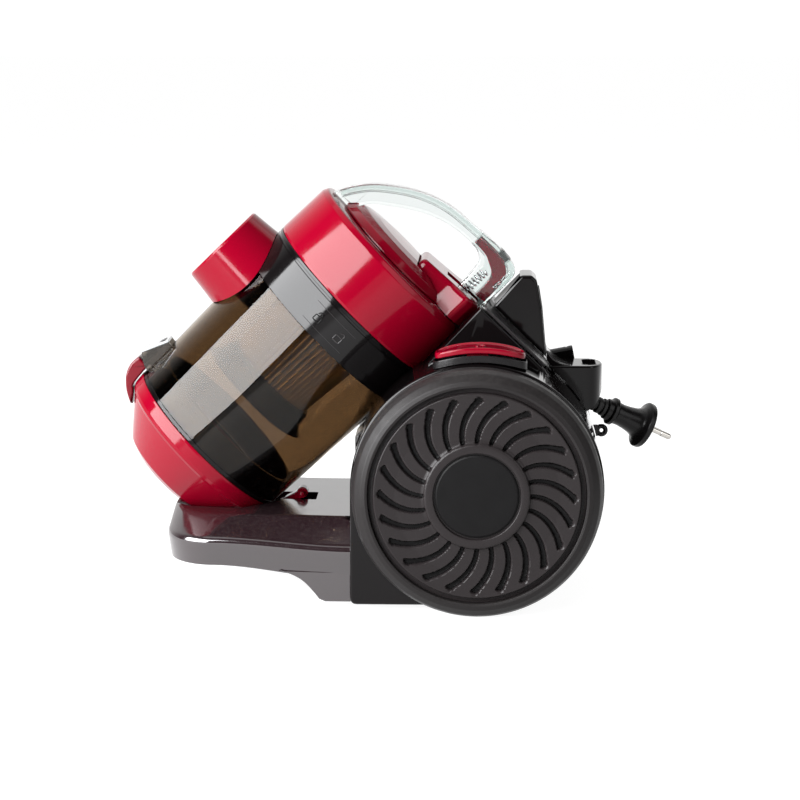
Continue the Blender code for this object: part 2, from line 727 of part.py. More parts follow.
def airway(chassis, foam, paper, plastic):
    """Filter before the motor, exhaust filter and the power switch."""
    box("pre_motor_filter", (-0.0085, -0.052, 0.050), (0.0005, 0.048, 0.118), chassis, foam)
    box("exhaust_filter", (-0.0500, -0.0400, 0.0090), (0.0500, 0.0060, 0.0215), chassis, paper)
    switch = box("power_switch", (0.0840, -0.0120, 0.1600), (0.1050, 0.0120, 0.1720), chassis, plastic)
    boolean(switch, box("switch_key", (0.0880, -0.0060, 0.1700), (0.1010, 0.0060, 0.1745), chassis), "UNION")


# ---------------------------------------------------------------- dust container

def inlet_hole(name, radius, bin_axis):
    """Cutter along the hose inlet's axis."""
    return turned(name, [(0, 0.12), (radius, 0.12), (radius, 0.04), (0, 0.04)], bin_axis, steps=28,
                  location=(0, 0, INLET_S), rotation=(math.radians(90.0), 0, 0))


def container(bin_axis, clear, black, red):
    """Transparent bin, its opaque rings, the hose inlet and its duct."""
    low = bin_radius(0.0)
    seam = bin_radius(RING_START)
    wall = [(seam - BIN_WALL - 0.0010, RING_START - GAP), (seam - 0.0010, RING_START - GAP),
            (low, 0.0), (low - BIN_WALL, 0.0)]
    bin_item = turned("dust_bin", wall, bin_axis, clear, steps=36, closed=True)
    ring = [(seam - 0.0036, BIN_LENGTH), (bin_radius(BIN_LENGTH), BIN_LENGTH),
            (seam, RING_START), (seam - 0.0036, RING_START)]
    ring_item = turned("bin_top_ring", ring, bin_axis, black, steps=36, closed=True)
    for item in (bin_item, ring_item):
        boolean(item, inlet_hole("hole_" + item.name, INLET_BORE + 0.0004, bin_axis))
    band = [(low - 0.0062, 0.0220), (low - 0.0028, 0.0220), (low - 0.0028, 0.0010),
            (low - 0.0062, 0.0010)]
    turned("bin_base_ring", band, bin_axis, black, steps=36, closed=True)

    face = INLET_FACE
    cone = [(INLET_BORE, face), (INLET_R - 0.0012, face), (INLET_R, face - 0.0014), (0.0384, 0.062),
            (0.0345, 0.062), (0.0300, face - 0.0060), (INLET_BORE, face - 0.0060)]
    collar = turned("inlet_collar", cone, bin_axis, red, steps=28, closed=True, location=(0, 0, INLET_S),
                    rotation=(math.radians(90.0), 0, 0))
    seat = [(0, 0.17), (bin_radius(0.17) + 0.0004, 0.17), (bin_radius(0.05) + 0.0004, 0.05), (0, 0.05)]
    boolean(collar, turned("collar_seat", seat, bin_axis, steps=36))
    duct = [(0.0192, face - 0.0012), (0.0211, face - 0.0012), (0.0211, 0.0500), (0.0192, 0.0500)]
    turned("inlet_duct", duct, bin_axis, black, steps=28, closed=True, location=(0, 0, INLET_S),
           rotation=(math.radians(90.0), 0, 0))


def flap(bin_axis, red):
    """Bottom flap with its arm, hinge knuckle and pin."""
    shell = [(0, -0.0420), (0.0330, -0.0415), (0.0440, -0.0335), (0.0640, -0.0125), (0.0668, -0.0030),
             (0.0668, -GAP), (bin_radius(0.0) + 0.0006, -GAP), (0.0712, -0.0020), (0.0690, -0.0120),
             (0.0668, -0.0140), (0.0480, -0.0355), (0.0430, -0.0410), (0.0340, -0.0448), (0, -0.0452)]
    cap = turned("bin_flap", shell, bin_axis, red, steps=32)
    y = -FLAP_HINGE_H
    outline = [(0.0660, -0.0115), (0.0700, -0.0105), (y + 0.0026, 0.0180), (y + 0.0034, FLAP_HINGE_S),
               (y - 0.0030, FLAP_HINGE_S + 0.0020), (y - 0.0040, 0.0180), (0.0715, -0.0010),
               (0.0680, -0.0015)]
    arm = prism("flap_arm", outline, -0.0050, 0.0050, "X", bin_axis)
    knuckle = turned("flap_knuckle", [(0, 0.005), (0.0034, 0.005), (0.0034, -0.005), (0, -0.005)], bin_axis,
                     steps=14, **along_x(location=(0, y, FLAP_HINGE_S)))
    boolean(cap, arm, "UNION")
    boolean(cap, knuckle, "UNION")
    pin = turned("flap_pin", [(0, 0.0105), (0.00155, 0.0105), (0.00155, -0.0105), (0, -0.0105)], bin_axis,
                 steps=12, **along_x(location=(0, y, FLAP_HINGE_S)))
    boolean(cap, pin, "UNION")
    return cap


def flap_hinge(bin_axis, black):
    """Hinge ears on the bin, bored for the flap's pin."""
    y = -FLAP_HINGE_H
    low = (-0.0120, 0.0740, FLAP_HINGE_S + 0.0044)
    high = (0.0120, y + 0.0030, FLAP_HINGE_S + 0.0090)
    ears = box("flap_hinge", low, high, bin_axis, black)
    for side in (-1, 1):
        near, far = sorted((side * 0.0056, side * 0.0110))
        low = (near, 0.0744, FLAP_HINGE_S - 0.0036)
        ear = box(f"ear_{side}", low, (far, y + 0.0030, FLAP_HINGE_S + 0.0080), bin_axis)
        boolean(ears, ear, "UNION")
    boolean(ears, turned("ear_bore", [(0, 0.02), (0.0017, 0.02), (0.0017, -0.02), (0, -0.02)], bin_axis,
                         steps=12, **along_x(location=(0, y, FLAP_HINGE_S))))
    return ears


def flap_latch(bin_axis, red):
    """Latch lever on the front of the bin that hooks under the flap's rim."""
    pivot = empty("flap_latch_axis", (0, -0.0772, 0.0225), parent=bin_axis)
    outline = [(-0.0030, 0.0160), (0.0014, 0.0160), (0.0018, -0.0200), (0.0036, -0.0285), (0.0076, -0.0340),
               (0.0048, -0.0362), (-0.0020, -0.0300), (-0.0040, -0.0180)]
    lever = prism("flap_latch", outline, -0.0085, 0.0085, "X", pivot, red)
    soften(lever, 0.0008)
    trunnion = turned("latch_trunnion", [(0, 0.0105), (0.0011, 0.0105), (0.0011, -0.0105), (0, -0.0105)],
                      pivot, steps=10, **along_x(location=(0, -0.0008, 0)))
    boolean(lever, trunnion, "UNION")


def filter_set(bin_axis, paper, black):
    """Pleated filter cartridge under the lid, with its shroud."""
    count = 24
    rings = []
    for s, outer in ((0.0690, 0.0375), (0.1540, 0.0440)):
        ring = []
        for k in range(2 * count):
            radius = outer if k % 2 == 0 else outer - 0.0075
            angle = math.pi * k / count
            ring.append((radius * math.cos(angle), radius * math.sin(angle), s))
        rings.append(ring)
    loft("filter_pleats", rings, bin_axis, paper)
    skirt = [(0, 0.0686), (0.0400, 0.0686), (0.0410, 0.0660), (0.0420, 0.0560), (0.0485, 0.0510),
             (0.0470, 0.0500), (0.0400, 0.0540), (0, 0.0560)]
    turned("filter_shroud", skirt, bin_axis, black, steps=32)


def lid(bin_axis, red):
    """Lid shell, its domed centre panel and the rear block under the handle."""
    shell = [(0, LID_TOP), (0.0700, LID_TOP), (0.0742, 0.2016), (0.0760, 0.1980),
             (BIN_R_HIGH, BIN_LENGTH + GAP), (BIN_R_HIGH - 0.0034, BIN_LENGTH + GAP),
             (0.0730, 0.1960), (0.0700, 0.1996), (0, 0.1996)]
    turned("lid", shell, bin_axis, red, steps=36)
    dome = [(0, 0.2153), (0.0300, 0.2148), (0.0440, 0.2132), (0.0520, 0.2095), (0.0565, 0.2045),
            (0.0565, 0.2034), (0.0530, 0.2034), (0.0485, 0.2075), (0.0420, 0.2105), (0, 0.2125)]
    panel = turned("lid_panel", dome, bin_axis, red, steps=28)
    room = box("block_room", (-0.0360, 0.0122, 0.1990), (0.0360, 0.0800, 0.2400), bin_axis)
    boolean(panel, room)
    notch = box("handle_notch", (-0.0106, -0.0700, 0.1990), (0.0106, -0.0455, 0.2400), bin_axis)
    boolean(panel, notch)
    outline = in_bin([(203.4, -13), (220.5, -13), (224.6, -60), (224.8, -66.5), (222.5, -69),
                      (203.4, -69.5)])
    block = prism("lid_rear_block", outline, -0.0460, 0.0460, "X", bin_axis, red)
    right = [(0.0300, 0.0100), (0.0350, 0.0420), (0.0450, 0.0570), (0.0385, 0.0640), (0.0290, 0.0690)]
    left = [(-x, y) for x, y in reversed(right)]
    plan = right + [(0.0220, 0.0720), (-0.0220, 0.0720)] + left
    boolean(block, prism("block_plan", plan, 0.190, 0.240, "Z", bin_axis), "INTERSECT")
    soften(block, 0.0016, angle=50)
    nest = in_bin([(210.5, -36), (230.0, -36), (230.0, -80), (210.5, -80)])
    boolean(block, prism("lever_nest", nest, -0.0112, 0.0112, "X", bin_axis))
    return block


def handle(bin_axis, clear):
    """Arched carrying handle from the lid's front edge to its rear block."""
    outer = smooth([(203.4, 69.5), (219, 61), (233, 49), (250, 26), (260, 1), (263.6, -29), (265.5, -46)], 3)
    outer += smooth([(265.0, -60), (262.5, -68.5), (256, -72.5), (240, -73), (212.5, -73)], 2)
    inner = smooth([(212.5, -47.5), (236, -47.5), (249, -43), (252, -29), (249, -8), (240, 13), (222, 38),
                    (212, 47), (203.4, 50)], 3)
    item = prism("carry_handle", in_bin(outer + inner), -0.0100, 0.0100, "X", bin_axis, clear)
    soften(item, 0.0012, angle=60)
    cavity = [(200, -50.6), (247, -50.6), (252.2, -46.0), (253.4, -31.5), (261.8, -31.5), (262.6, -52.0),
              (260.0, -64.0), (250, -90), (200, -90)]
    boolean(item, prism("handle_cavity", in_bin(cavity), -0.0078, 0.0078, "X", bin_axis))
    room = in_bin([(200, 75), (203.9, 75), (203.9, 46), (200, 46)])
    boolean(item, prism("panel_room", room, -0.02, 0.02, "X", bin_axis))
    button = in_bin([(255, -50.5), (270, -50.5), (270, -61.5), (255, -61.5)])
    boolean(item, prism("button_hole", button, -0.0052, 0.0052, "X", bin_axis))
    return item


def release(bin_axis, red, dark):
    """Container release: pivoting lever and its button."""
    pivot = empty("release_axis", (0, 0.0340, 0.2570), parent=bin_axis)
    shift = pivot.location
    outer = smooth([(259.8, -33), (260.6, -42), (260.4, -54), (256.8, -62), (248, -67.5), (228, -69.5)], 2)
    inner = smooth([(226.5, -62.5), (240, -62), (247.5, -59), (252.6, -51), (254.8, -42), (255.0, -33)], 2)
    points = [(a - shift.y, b - shift.z) for a, b in in_bin(outer + inner)]
    lever = prism("release_lever", points, -0.0068, 0.0068, "X", pivot, red)
    soften(lever, 0.0006, angle=50)
    cap = in_bin([(261.0, -51.4), (265.9, -52.6), (264.9, -60.4), (259.2, -60.4)])
    points = [(a - shift.y, b - shift.z) for a, b in cap]
    prism("release_button", points, -0.0046, 0.0046, "X", pivot, dark, bevel=0.0005)


def release_spring(bin_axis, steel):
    """Coil spring between the lid's block and the release lever."""
    points = []
    turns = 6
    sides = 8
    for k in range(turns * sides + 1):
        angle = 2 * math.pi * k / sides
        points.append((0.0032 * math.cos(angle), 0.0548 + 0.0032 * math.sin(angle),
                       0.2126 + 0.0325 * k / (turns * sides)))
    tube("release_spring", points, 0.0005, bin_axis, steel, resolution=0)


# ---------------------------------------------------------------- assembly

def main():
    red = material("crimson_gloss", (0.55, 0.01, 0.03), 0.12)
    deep = material("crimson_deep", (0.40, 0.01, 0.02), 0.2)
    black = material("black_gloss", (0.02, 0.016, 0.018), 0.12)
    satin = material("black_satin", (0.03, 0.03, 0.03), 0.45)
    brown = material("tray_brown", (0.05, 0.03, 0.035), 0.2)
    grey = material("ridge_grey", (0.12, 0.12, 0.12), 0.35)
    tyre = material("tyre_rubber", (0.06, 0.05, 0.05), 0.6)
    disc = material("wheel_satin", (0.07, 0.06, 0.06), 0.35)
    label = material("cap_black", (0.015, 0.015, 0.015), 0.4)
    smoke = material("smoked_clear", (0.16, 0.10, 0.06), 0.05, alpha=0.45)
    glass = material("clear_plastic", (0.85, 0.90, 0.88), 0.05, alpha=0.35)
    paper = material("filter_paper", (0.55, 0.42, 0.30), 0.9)
    foam = material("filter_foam", (0.10, 0.10, 0.11), 0.95)
    cord = material("cord_rubber", (0.02, 0.02, 0.02), 0.6)
    steel = material("steel", (0.60, 0.60, 0.62), 0.3, 1.0)
    nickel = material("nickel", (0.70, 0.68, 0.64), 0.2, 1.0)
    copper = material("stator_copper", (0.55, 0.27, 0.15), 0.35, 1.0)
    inner = material("inner_plastic", (0.10, 0.11, 0.12), 0.5)

    chassis = empty("chassis", (0, AXLE_Y, 0))
    bin_axis = empty("bin_axis", (0, BIN_START_Y, BIN_START_Z), (-BIN_TILT, 0, 0), chassis)
    line = cord_axis(chassis)

    housing(chassis, bin_axis, line, black)
    underside_plate(chassis, satin)
    base_tray(chassis, bin_axis, brown)
    tray_foot(chassis, brown)
    ridge_strip(chassis, bin_axis, grey)
    rear_tower(chassis, bin_axis, black)
    for side in (-1, 1):
        wheel(side, chassis, tyre, disc, label, steel)
        pedal(side, chassis, red, satin)
    castor_socket(chassis, inner)
    castor(chassis, inner, tyre)
    parking_bracket(chassis, satin)
    accessory_peg(chassis, satin)
    rear_eyelet(chassis, satin)

    cord_outlet(line, satin)
    plug(line, cord, satin, nickel)
    reel(chassis, inner, cord, steel)
    cord_run(chassis, cord)
    reel_brake(chassis, inner)
    motor(chassis, inner, steel, copper)
    airway(chassis, foam, paper, inner)

    container(bin_axis, smoke, black, red)
    flap(bin_axis, red)
    flap_hinge(bin_axis, black)
    flap_latch(bin_axis, deep)
    filter_set(bin_axis, paper, black)
    lid(bin_axis, red)
    handle(bin_axis, glass)
    release(bin_axis, deep, satin)
    release_spring(bin_axis, steel)


clear_scene()
PARTS = collection(COLLECTION)
TOOLS = collection(CUTTERS)
main()
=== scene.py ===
"""Looks of the bagless canister vacuum cleaner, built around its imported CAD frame.

World frame: metres, +Z up, front of the cleaner towards -Y, its left side towards +X.
Shapes are written in millimetres. Body shapes use (y, z) from the rear axle line on the
floor; container shapes use s along the container's axis and h across it, towards the handle.
"""

import json
from math import asin, copysign, cos, degrees, hypot, pi, radians, sin, sqrt, tan

import bmesh
import bpy
from mathutils import Matrix, Vector


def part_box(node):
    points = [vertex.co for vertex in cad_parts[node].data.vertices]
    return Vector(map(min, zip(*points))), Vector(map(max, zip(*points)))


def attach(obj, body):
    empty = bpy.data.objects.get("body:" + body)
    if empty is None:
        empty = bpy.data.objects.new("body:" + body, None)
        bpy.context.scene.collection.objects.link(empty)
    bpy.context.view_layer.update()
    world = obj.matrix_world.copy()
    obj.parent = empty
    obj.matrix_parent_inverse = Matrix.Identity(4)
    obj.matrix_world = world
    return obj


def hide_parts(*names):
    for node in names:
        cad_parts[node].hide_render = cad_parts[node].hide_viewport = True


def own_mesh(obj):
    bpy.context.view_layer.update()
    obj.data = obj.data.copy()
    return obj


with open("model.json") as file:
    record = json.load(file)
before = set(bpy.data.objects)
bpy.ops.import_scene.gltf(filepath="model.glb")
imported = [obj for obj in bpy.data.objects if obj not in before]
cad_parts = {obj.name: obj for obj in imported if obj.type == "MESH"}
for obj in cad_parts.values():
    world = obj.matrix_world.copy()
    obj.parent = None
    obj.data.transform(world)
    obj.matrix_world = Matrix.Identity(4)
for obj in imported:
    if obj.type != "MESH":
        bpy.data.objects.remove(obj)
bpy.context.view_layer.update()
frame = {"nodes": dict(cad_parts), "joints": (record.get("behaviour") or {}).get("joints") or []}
NODES = frame["nodes"]
JOINTS = {joint["name"]: joint for joint in frame["joints"]}
MM = 0.001
AT = Matrix.Translation


# ---------------------------------------------------------------- frames read from the CAD

AXLE = Vector(JOINTS["wheel_left_spin"]["pos_m"])
BODY = AT((0, AXLE.y, 0))
U_AXIS = Vector(JOINTS["lid_twist"]["axis"]).normalized()
N_AXIS = Vector((0, -U_AXIS.z, U_AXIS.y))
LID_PIVOT_M = 0.17
BIN_START = Vector(JOINTS["lid_twist"]["pos_m"]) - U_AXIS * LID_PIVOT_M
PLUG_AXIS = Vector(JOINTS["plug_pull"]["axis"]).normalized()
PLUG_NECK_M = 0.046
CASTOR = Vector(JOINTS["castor_roll"]["pos_m"])


def basis(origin, x_axis, y_axis, z_axis):
    """Matrix whose columns are the given axes, placed at origin."""
    turn = Matrix((x_axis, y_axis, z_axis)).transposed()
    return AT(origin) @ turn.to_4x4()


BIN = basis(BIN_START, Vector((1, 0, 0)), -N_AXIS, U_AXIS)


def plug_frame():
    """Frame at the plug's neck, local Z pointing out along the cord."""
    low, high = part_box("cord_tail")
    middle = (low + high) / 2
    side = Vector((0, 0, 1)).cross(PLUG_AXIS).normalized()
    return basis(middle + PLUG_AXIS * PLUG_NECK_M, side, PLUG_AXIS.cross(side), PLUG_AXIS)


LINE = plug_frame()


def hub(side):
    """Frame at a wheel's inner face, local Z pointing outward."""
    low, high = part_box("wheel_left_tyre" if side > 0 else "wheel_right_tyre")
    inner = low.x if side > 0 else high.x
    turn = Matrix.Rotation(radians(90 * side), 4, "Y")
    return AT((inner, AXLE.y, AXLE.z)) @ turn


TURN_X = Matrix.Rotation(radians(90), 4, "Y")


def tag_of(side):
    """+X is the cleaner's left."""
    return "left" if side > 0 else "right"


# ---------------------------------------------------------------- materials

def add_node(tree, kind, output, **inputs):
    """Add a shader node, set or link its inputs by name, and return one output."""
    node = tree.nodes.new("ShaderNode" + kind)
    fill_inputs(tree, node, inputs)
    return node.outputs[output]


def fill_inputs(tree, node, inputs):
    """Set a node's inputs to constants, or link them to other sockets."""
    for name, value in inputs.items():
        socket = node.inputs[name.replace("_", " ")]
        if isinstance(value, bpy.types.NodeSocket):
            tree.links.new(value, socket)
        else:
            socket.default_value = value


def noise(tree, coords, scale, detail, rough):
    """A noise texture's factor."""
    return add_node(tree, "TexNoise", "Fac", Scale=scale, Detail=detail, Roughness=rough, Vector=coords)


def ramp(tree, value, low, high, out_low, out_high):
    """Map a value from one range to another."""
    return add_node(tree, "MapRange", "Result", From_Min=low, From_Max=high, To_Min=out_low,
                    To_Max=out_high, Value=value)


def blend_color(tree, factor, first, second):
    """Mix two colours by a factor; a colour may be a socket."""
    node = tree.nodes.new("ShaderNodeMix")
    node.data_type = "RGBA"
    tree.links.new(factor, node.inputs["Factor"])
    for socket, value in ((node.inputs[6], first), (node.inputs[7], second)):
        if isinstance(value, tuple):
            socket.default_value = (*value, 1)
        else:
            tree.links.new(value, socket)
    return node.outputs[2]


def tint(color, factor):
    """A lighter or darker copy of a colour."""
    return tuple(min(1, channel * factor) for channel in color)


DUST_COLOR = (0.42, 0.38, 0.35)


def finish(name, color, rough, vary, cloud, spread, grain=None, metal=0, ior=1.45, clear=0,
           wear=0, dust=0, sheen=0):
    """Procedural surface: clouded colour, uneven roughness, moulded grain, edge wear and dust."""
    mat = bpy.data.materials.new(name)
    mat.use_nodes = True
    tree = mat.node_tree
    coords = add_node(tree, "TexCoord", "Object")
    factor = noise(tree, coords, cloud, 4, 0.6)
    base = blend_color(tree, factor, tint(color, 1 - vary), tint(color, 1 + vary))
    if wear:
        edge = ramp(tree, add_node(tree, "NewGeometry", "Pointiness"), 0.51, 0.56, 0, wear)
        base = blend_color(tree, edge, base, tint(color, 2.2))
    if dust:
        normal = add_node(tree, "NewGeometry", "Normal")
        up = ramp(tree, add_node(tree, "SeparateXYZ", "Z", Vector=normal), 0.2, 1, 0, dust)
        spots = ramp(tree, noise(tree, coords, 420, 5, 0.7), 0.45, 0.7, 0, 1)
        patch = tree.nodes.new("ShaderNodeMath")
        patch.operation = "MULTIPLY"
        tree.links.new(up, patch.inputs[0])
        tree.links.new(spots, patch.inputs[1])
        base = blend_color(tree, patch.outputs["Value"], base, DUST_COLOR)
    mottled = noise(tree, coords, 90, 5, 0.65)
    uneven = ramp(tree, mottled, 0.3, 0.7, max(0, rough - spread), rough + spread)
    surface = {"Base Color": base, "Roughness": uneven, "Metallic": metal, "IOR": ior,
               "Transmission Weight": clear, "Sheen Weight": sheen}
    if grain:
        scale, depth = grain
        height = noise(tree, coords, scale, 2, 0.5)
        surface["Normal"] = add_node(tree, "Bump", "Normal", Strength=1, Distance=depth * MM, Height=height)
    fill_inputs(tree, tree.nodes["Principled BSDF"], surface)
    return mat


# Columns: name, colour, roughness, colour variation, cloud scale, roughness spread,
# (grain scale, grain depth in mm), then what differs from an opaque plastic.
RED = finish("crimson_gloss", (0.118, 0.0003, 0.0060), 0.10, 0.03, 30, 0.03, (160, 0.010), ior=1.27)
DEEP = finish("crimson_deep", (0.072, 0.0003, 0.0036), 0.15, 0.05, 40, 0.04, (160, 0.012), ior=1.32)
BLACK = finish("black_gloss", (0.0019, 0.0014, 0.0015), 0.08, 0.12, 30, 0.03, (150, 0.008), ior=1.27)
RIM = finish("ring_black", (0.0022, 0.0018, 0.0019), 0.09, 0.12, 30, 0.03, (150, 0.006), ior=1.31)
SATIN = finish("black_satin", (0.0045, 0.0040, 0.0042), 0.28, 0.12, 60, 0.06, (2600, 0.025),
               wear=0.10, ior=1.27)
TRAY = finish("tray_brown", (0.0085, 0.0042, 0.0052), 0.12, 0.08, 30, 0.04, (150, 0.010),
              dust=0.02, ior=1.92)
# Grey for the ring's printed marks, and on the ridge strip a painted highlight of its bevel.
GREY_PRINT_AND_HIGHLIGHT = finish("ridge_grey", (0.013, 0.0115, 0.012), 0.28, 0.08, 50, 0.05, (2400, 0.02), ior=1.36)
TYRE = finish("tyre_rubber", (0.0085, 0.0074, 0.0074), 0.42, 0.10, 70, 0.07, (2800, 0.03),
              wear=0.10, dust=0.02, ior=1.23)
DISC = finish("wheel_satin", (0.0098, 0.0081, 0.0083), 0.32, 0.08, 60, 0.05, (3000, 0.02),
              wear=0.20, ior=1.24)
# Darker, rougher surface for the floors of the recessed swirl slots: painted shade standing in for the shadow
# inside the slots.
SLOT_SHADE = finish("slot_painted_shade", (0.0014, 0.0012, 0.0013), 0.48, 0.10, 60, 0.05, (2500, 0.02), ior=1.2)
CAP = finish("cap_black", (0.0022, 0.0020, 0.0021), 0.45, 0.12, 60, 0.05, (3200, 0.012), ior=1.2)
SMOKE = finish("smoked_clear", (0.275, 0.20, 0.128), 0.03, 0.05, 18, 0.01, ior=1.275, clear=1)
CLEAR = finish("clear_plastic", (0.86, 0.90, 0.89), 0.02, 0.02, 25, 0.015, (110, 0.006),
               ior=1.42, clear=1)
PAPER = finish("filter_paper", (0.40, 0.33, 0.20), 0.85, 0.12, 60, 0.08, (900, 0.03), sheen=0.1)
FOAM = finish("filter_foam", (0.055, 0.055, 0.06), 0.92, 0.25, 500, 0.06, (900, 0.5))
RUBBER = finish("cord_rubber", (0.0060, 0.0056, 0.0056), 0.48, 0.12, 120, 0.06, (2600, 0.03),
                wear=0.08, ior=1.35)
STEEL = finish("spring_steel", (0.62, 0.62, 0.64), 0.24, 0.10, 400, 0.08, (1400, 0.01), metal=1)
NICKEL = finish("nickel_plate", (0.50, 0.48, 0.45), 0.20, 0.06, 300, 0.06, (1800, 0.006), metal=1)
COPPER = finish("stator_copper", (0.62, 0.30, 0.17), 0.34, 0.20, 600, 0.08, (1500, 0.05), metal=1)
INNER = finish("inner_plastic", (0.085, 0.092, 0.10), 0.48, 0.08, 80, 0.06, (2200, 0.03))
# Darker clear plastic for thin lines along the handle: painted shade standing in for the dark refraction
# lines at its edges.
CLEAR_SHADE_LINE = finish("clear_painted_edge_shade", (0.55, 0.59, 0.58), 0.08, 0.05, 25, 0.03, (110, 0.006),
              ior=1.42, clear=1)
GLAZE = finish("catch_smoked", (0.14, 0.12, 0.10), 0.05, 0.08, 40, 0.03, (120, 0.006),
               ior=1.35, clear=0.92)
SILVER = finish("catch_cap_grey", (0.42, 0.43, 0.44), 0.16, 0.06, 60, 0.04, (900, 0.01), metal=0.7)
BURGUNDY = finish("nest_red", (0.085, 0.002, 0.005), 0.22, 0.08, 50, 0.05, (160, 0.012), ior=1.35)


# ---------------------------------------------------------------- mesh helpers

def add_object(name, data):
    """Put new data into the scene as an object."""
    item = bpy.data.objects.new(name, data)
    bpy.context.scene.collection.objects.link(item)
    return item


def new_object(name, bm, place):
    """An object made from a bmesh in millimetres."""
    bmesh.ops.recalc_face_normals(bm, faces=bm.faces)
    mesh = bpy.data.meshes.new(name)
    bm.to_mesh(mesh)
    bm.free()
    mesh.transform(Matrix.Scale(MM, 4))
    mesh.transform(place)
    return add_object(name, mesh)


def tool(bm, place=BODY):
    """A shape that only joins or cuts others."""
    return new_object("tool", bm, place)


def build(name, bm, mat, body, nodes, place=BODY, sharp=32, extra=(), added=(), removed=(), slot=None):
    """Make a piece, join and cut it with tools, and let it ride on a body for its CAD nodes."""
    piece = new_object(name, bm, place)
    for item in (mat, *extra):
        piece.data.materials.append(item)
    shade(piece, sharp)
    if added:
        cut(piece, added, "UNION", sharp)
    if removed:
        cut(piece, removed, "DIFFERENCE", sharp)
    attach(piece, body)
    if nodes:
        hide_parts(*nodes)
    return piece


def shade(piece, sharp=32):
    """Smooth shading with sharp creases and flat faces kept flat."""
    mesh = piece.data
    mesh.shade_smooth()
    mesh.set_sharp_from_angle(angle=radians(sharp))
    if "weighted" not in piece.modifiers:
        mod = piece.modifiers.new("weighted", "WEIGHTED_NORMAL")
        mod.keep_sharp = True


def fillet(points, steps=5, radius=0, closed=True):
    """Round a polyline's corners; a point may carry its own radius as a third number."""
    count = len(points)
    result = []
    for i, point in enumerate(points):
        own = point[2] if len(point) > 2 else radius
        here = Vector(point[:2])
        if not own or (not closed and i in (0, count - 1)):
            result.append((here.x, here.y))
            continue
        before = Vector(points[i - 1][:2]) - here
        after = Vector(points[(i + 1) % count][:2]) - here
        angle = before.angle(after, pi)
        if angle > radians(176) or angle < 1e-4:
            result.append((here.x, here.y))
            continue
        reach = min(own / tan(angle / 2), before.length * 0.47, after.length * 0.47)
        start = here + before.normalized() * reach
        end = here + after.normalized() * reach
        for k in range(steps + 1):
            t = k / steps
            spot = start * (1 - t) ** 2 + here * 2 * t * (1 - t) + end * t * t
            result.append((spot.x, spot.y))
    return result


def arc(centre, radius, start, end, count):
    """Points on an arc, angles in degrees from the first axis."""
    points = []
    for i in range(count):
        angle = radians(start + (end - start) * i / (count - 1))
        points.append((centre[0] + radius * cos(angle), centre[1] + radius * sin(angle)))
    return points


def smooth(points, per_span=8, cyclic=False):
    """A Catmull-Rom curve through points of any dimension."""
    spots = [Vector(p) for p in points]
    count = len(spots)
    spans = count if cyclic else count - 1
    result = []
    for i in range(spans):
        before = spots[(i - 1) % count] if cyclic or i > 0 else spots[0]
        start = spots[i]
        end = spots[(i + 1) % count]
        after = spots[(i + 2) % count] if cyclic or i + 2 < count else spots[-1]
        for k in range(per_span):
            t = k / per_span
            value = 0.5 * (
                2 * start + (end - before) * t
                + (2 * before - 5 * start + 4 * end - after) * t * t
                + (3 * start - before - 3 * end + after) * t ** 3
            )
            result.append(tuple(value))
    if not cyclic:
        result.append(tuple(spots[-1]))
    return result


def loft_bm(rings, capped=True, shift=None):
    """A surface through rings; a shift joins the last ring to the first, turned that far."""
    bm = bmesh.new()
    rows = [[bm.verts.new(point) for point in ring] for ring in rings]
    for lower, upper in zip(rows, rows[1:]):
        join(bm, lower, upper)
    if shift is not None:
        join(bm, rows[-1], rows[0][shift:] + rows[0][:shift])
    elif capped:
        bm.faces.new(list(reversed(rows[0])))
        bm.faces.new(rows[-1])
    return bm


def join(bm, lower, upper):
    """Faces between two rings, either of which may be a single point."""
    if len(lower) == 1 and len(upper) == 1:
        return
    count = max(len(lower), len(upper))
    for i in range(count):
        j = (i + 1) % count
        if len(lower) == 1:
            bm.faces.new((lower[0], upper[j], upper[i]))
        elif len(upper) == 1:
            bm.faces.new((lower[i], lower[j], upper[0]))
        else:
            bm.faces.new((lower[i], lower[j], upper[j], upper[i]))


def around(radius, height, count, phase=0):
    """Points on a level circle."""
    turns = [2 * pi * (k + phase) / count for k in range(count)]
    return [(radius * cos(turn), radius * sin(turn), height) for turn in turns]


def turned_bm(profile, steps=144, closed=True):
    """Revolve (radius, height) points about Z."""
    rings = [around(r, z, steps) if r > 1e-6 else [(0, 0, z)] for r, z in profile]
    return loft_bm(rings, capped=False, shift=0 if closed else None)


def turned(name, profile, mat, body, nodes, place, steps=144, closed=True, **more):
    """A turned piece."""
    return build(name, turned_bm(profile, steps, closed), mat, body, nodes, place, **more)


def drill(radius, start, end, place, steps=48):
    """A round tool along its frame's Z."""
    return tool(turned_bm([(0, start), (radius, start), (radius, end), (0, end)], steps, False), place)


def offset(outline, distance):
    """The outline moved inward by a distance, mitred at its corners."""
    count = len(outline)
    area = 0
    for i in range(count):
        (x0, y0), (x1, y1) = outline[i], outline[(i + 1) % count]
        area += x0 * y1 - x1 * y0
    sign = 1 if area > 0 else -1
    result = []
    for i in range(count):
        here = Vector(outline[i])
        a = (here - Vector(outline[i - 1]))
        b = (Vector(outline[(i + 1) % count]) - here)
        a = a.normalized() if a.length > 1e-9 else b.normalized()
        b = b.normalized() if b.length > 1e-9 else a
        normal = Vector((-a.y - b.y, a.x + b.x))
        if normal.length < 1e-6:
            normal = Vector((-a.y, a.x))
        normal.normalize()
        lean = max(0.45, normal.dot(Vector((-a.y, a.x))))
        spot = here + normal * (sign * distance / lean)
        result.append((spot.x, spot.y))
    return result


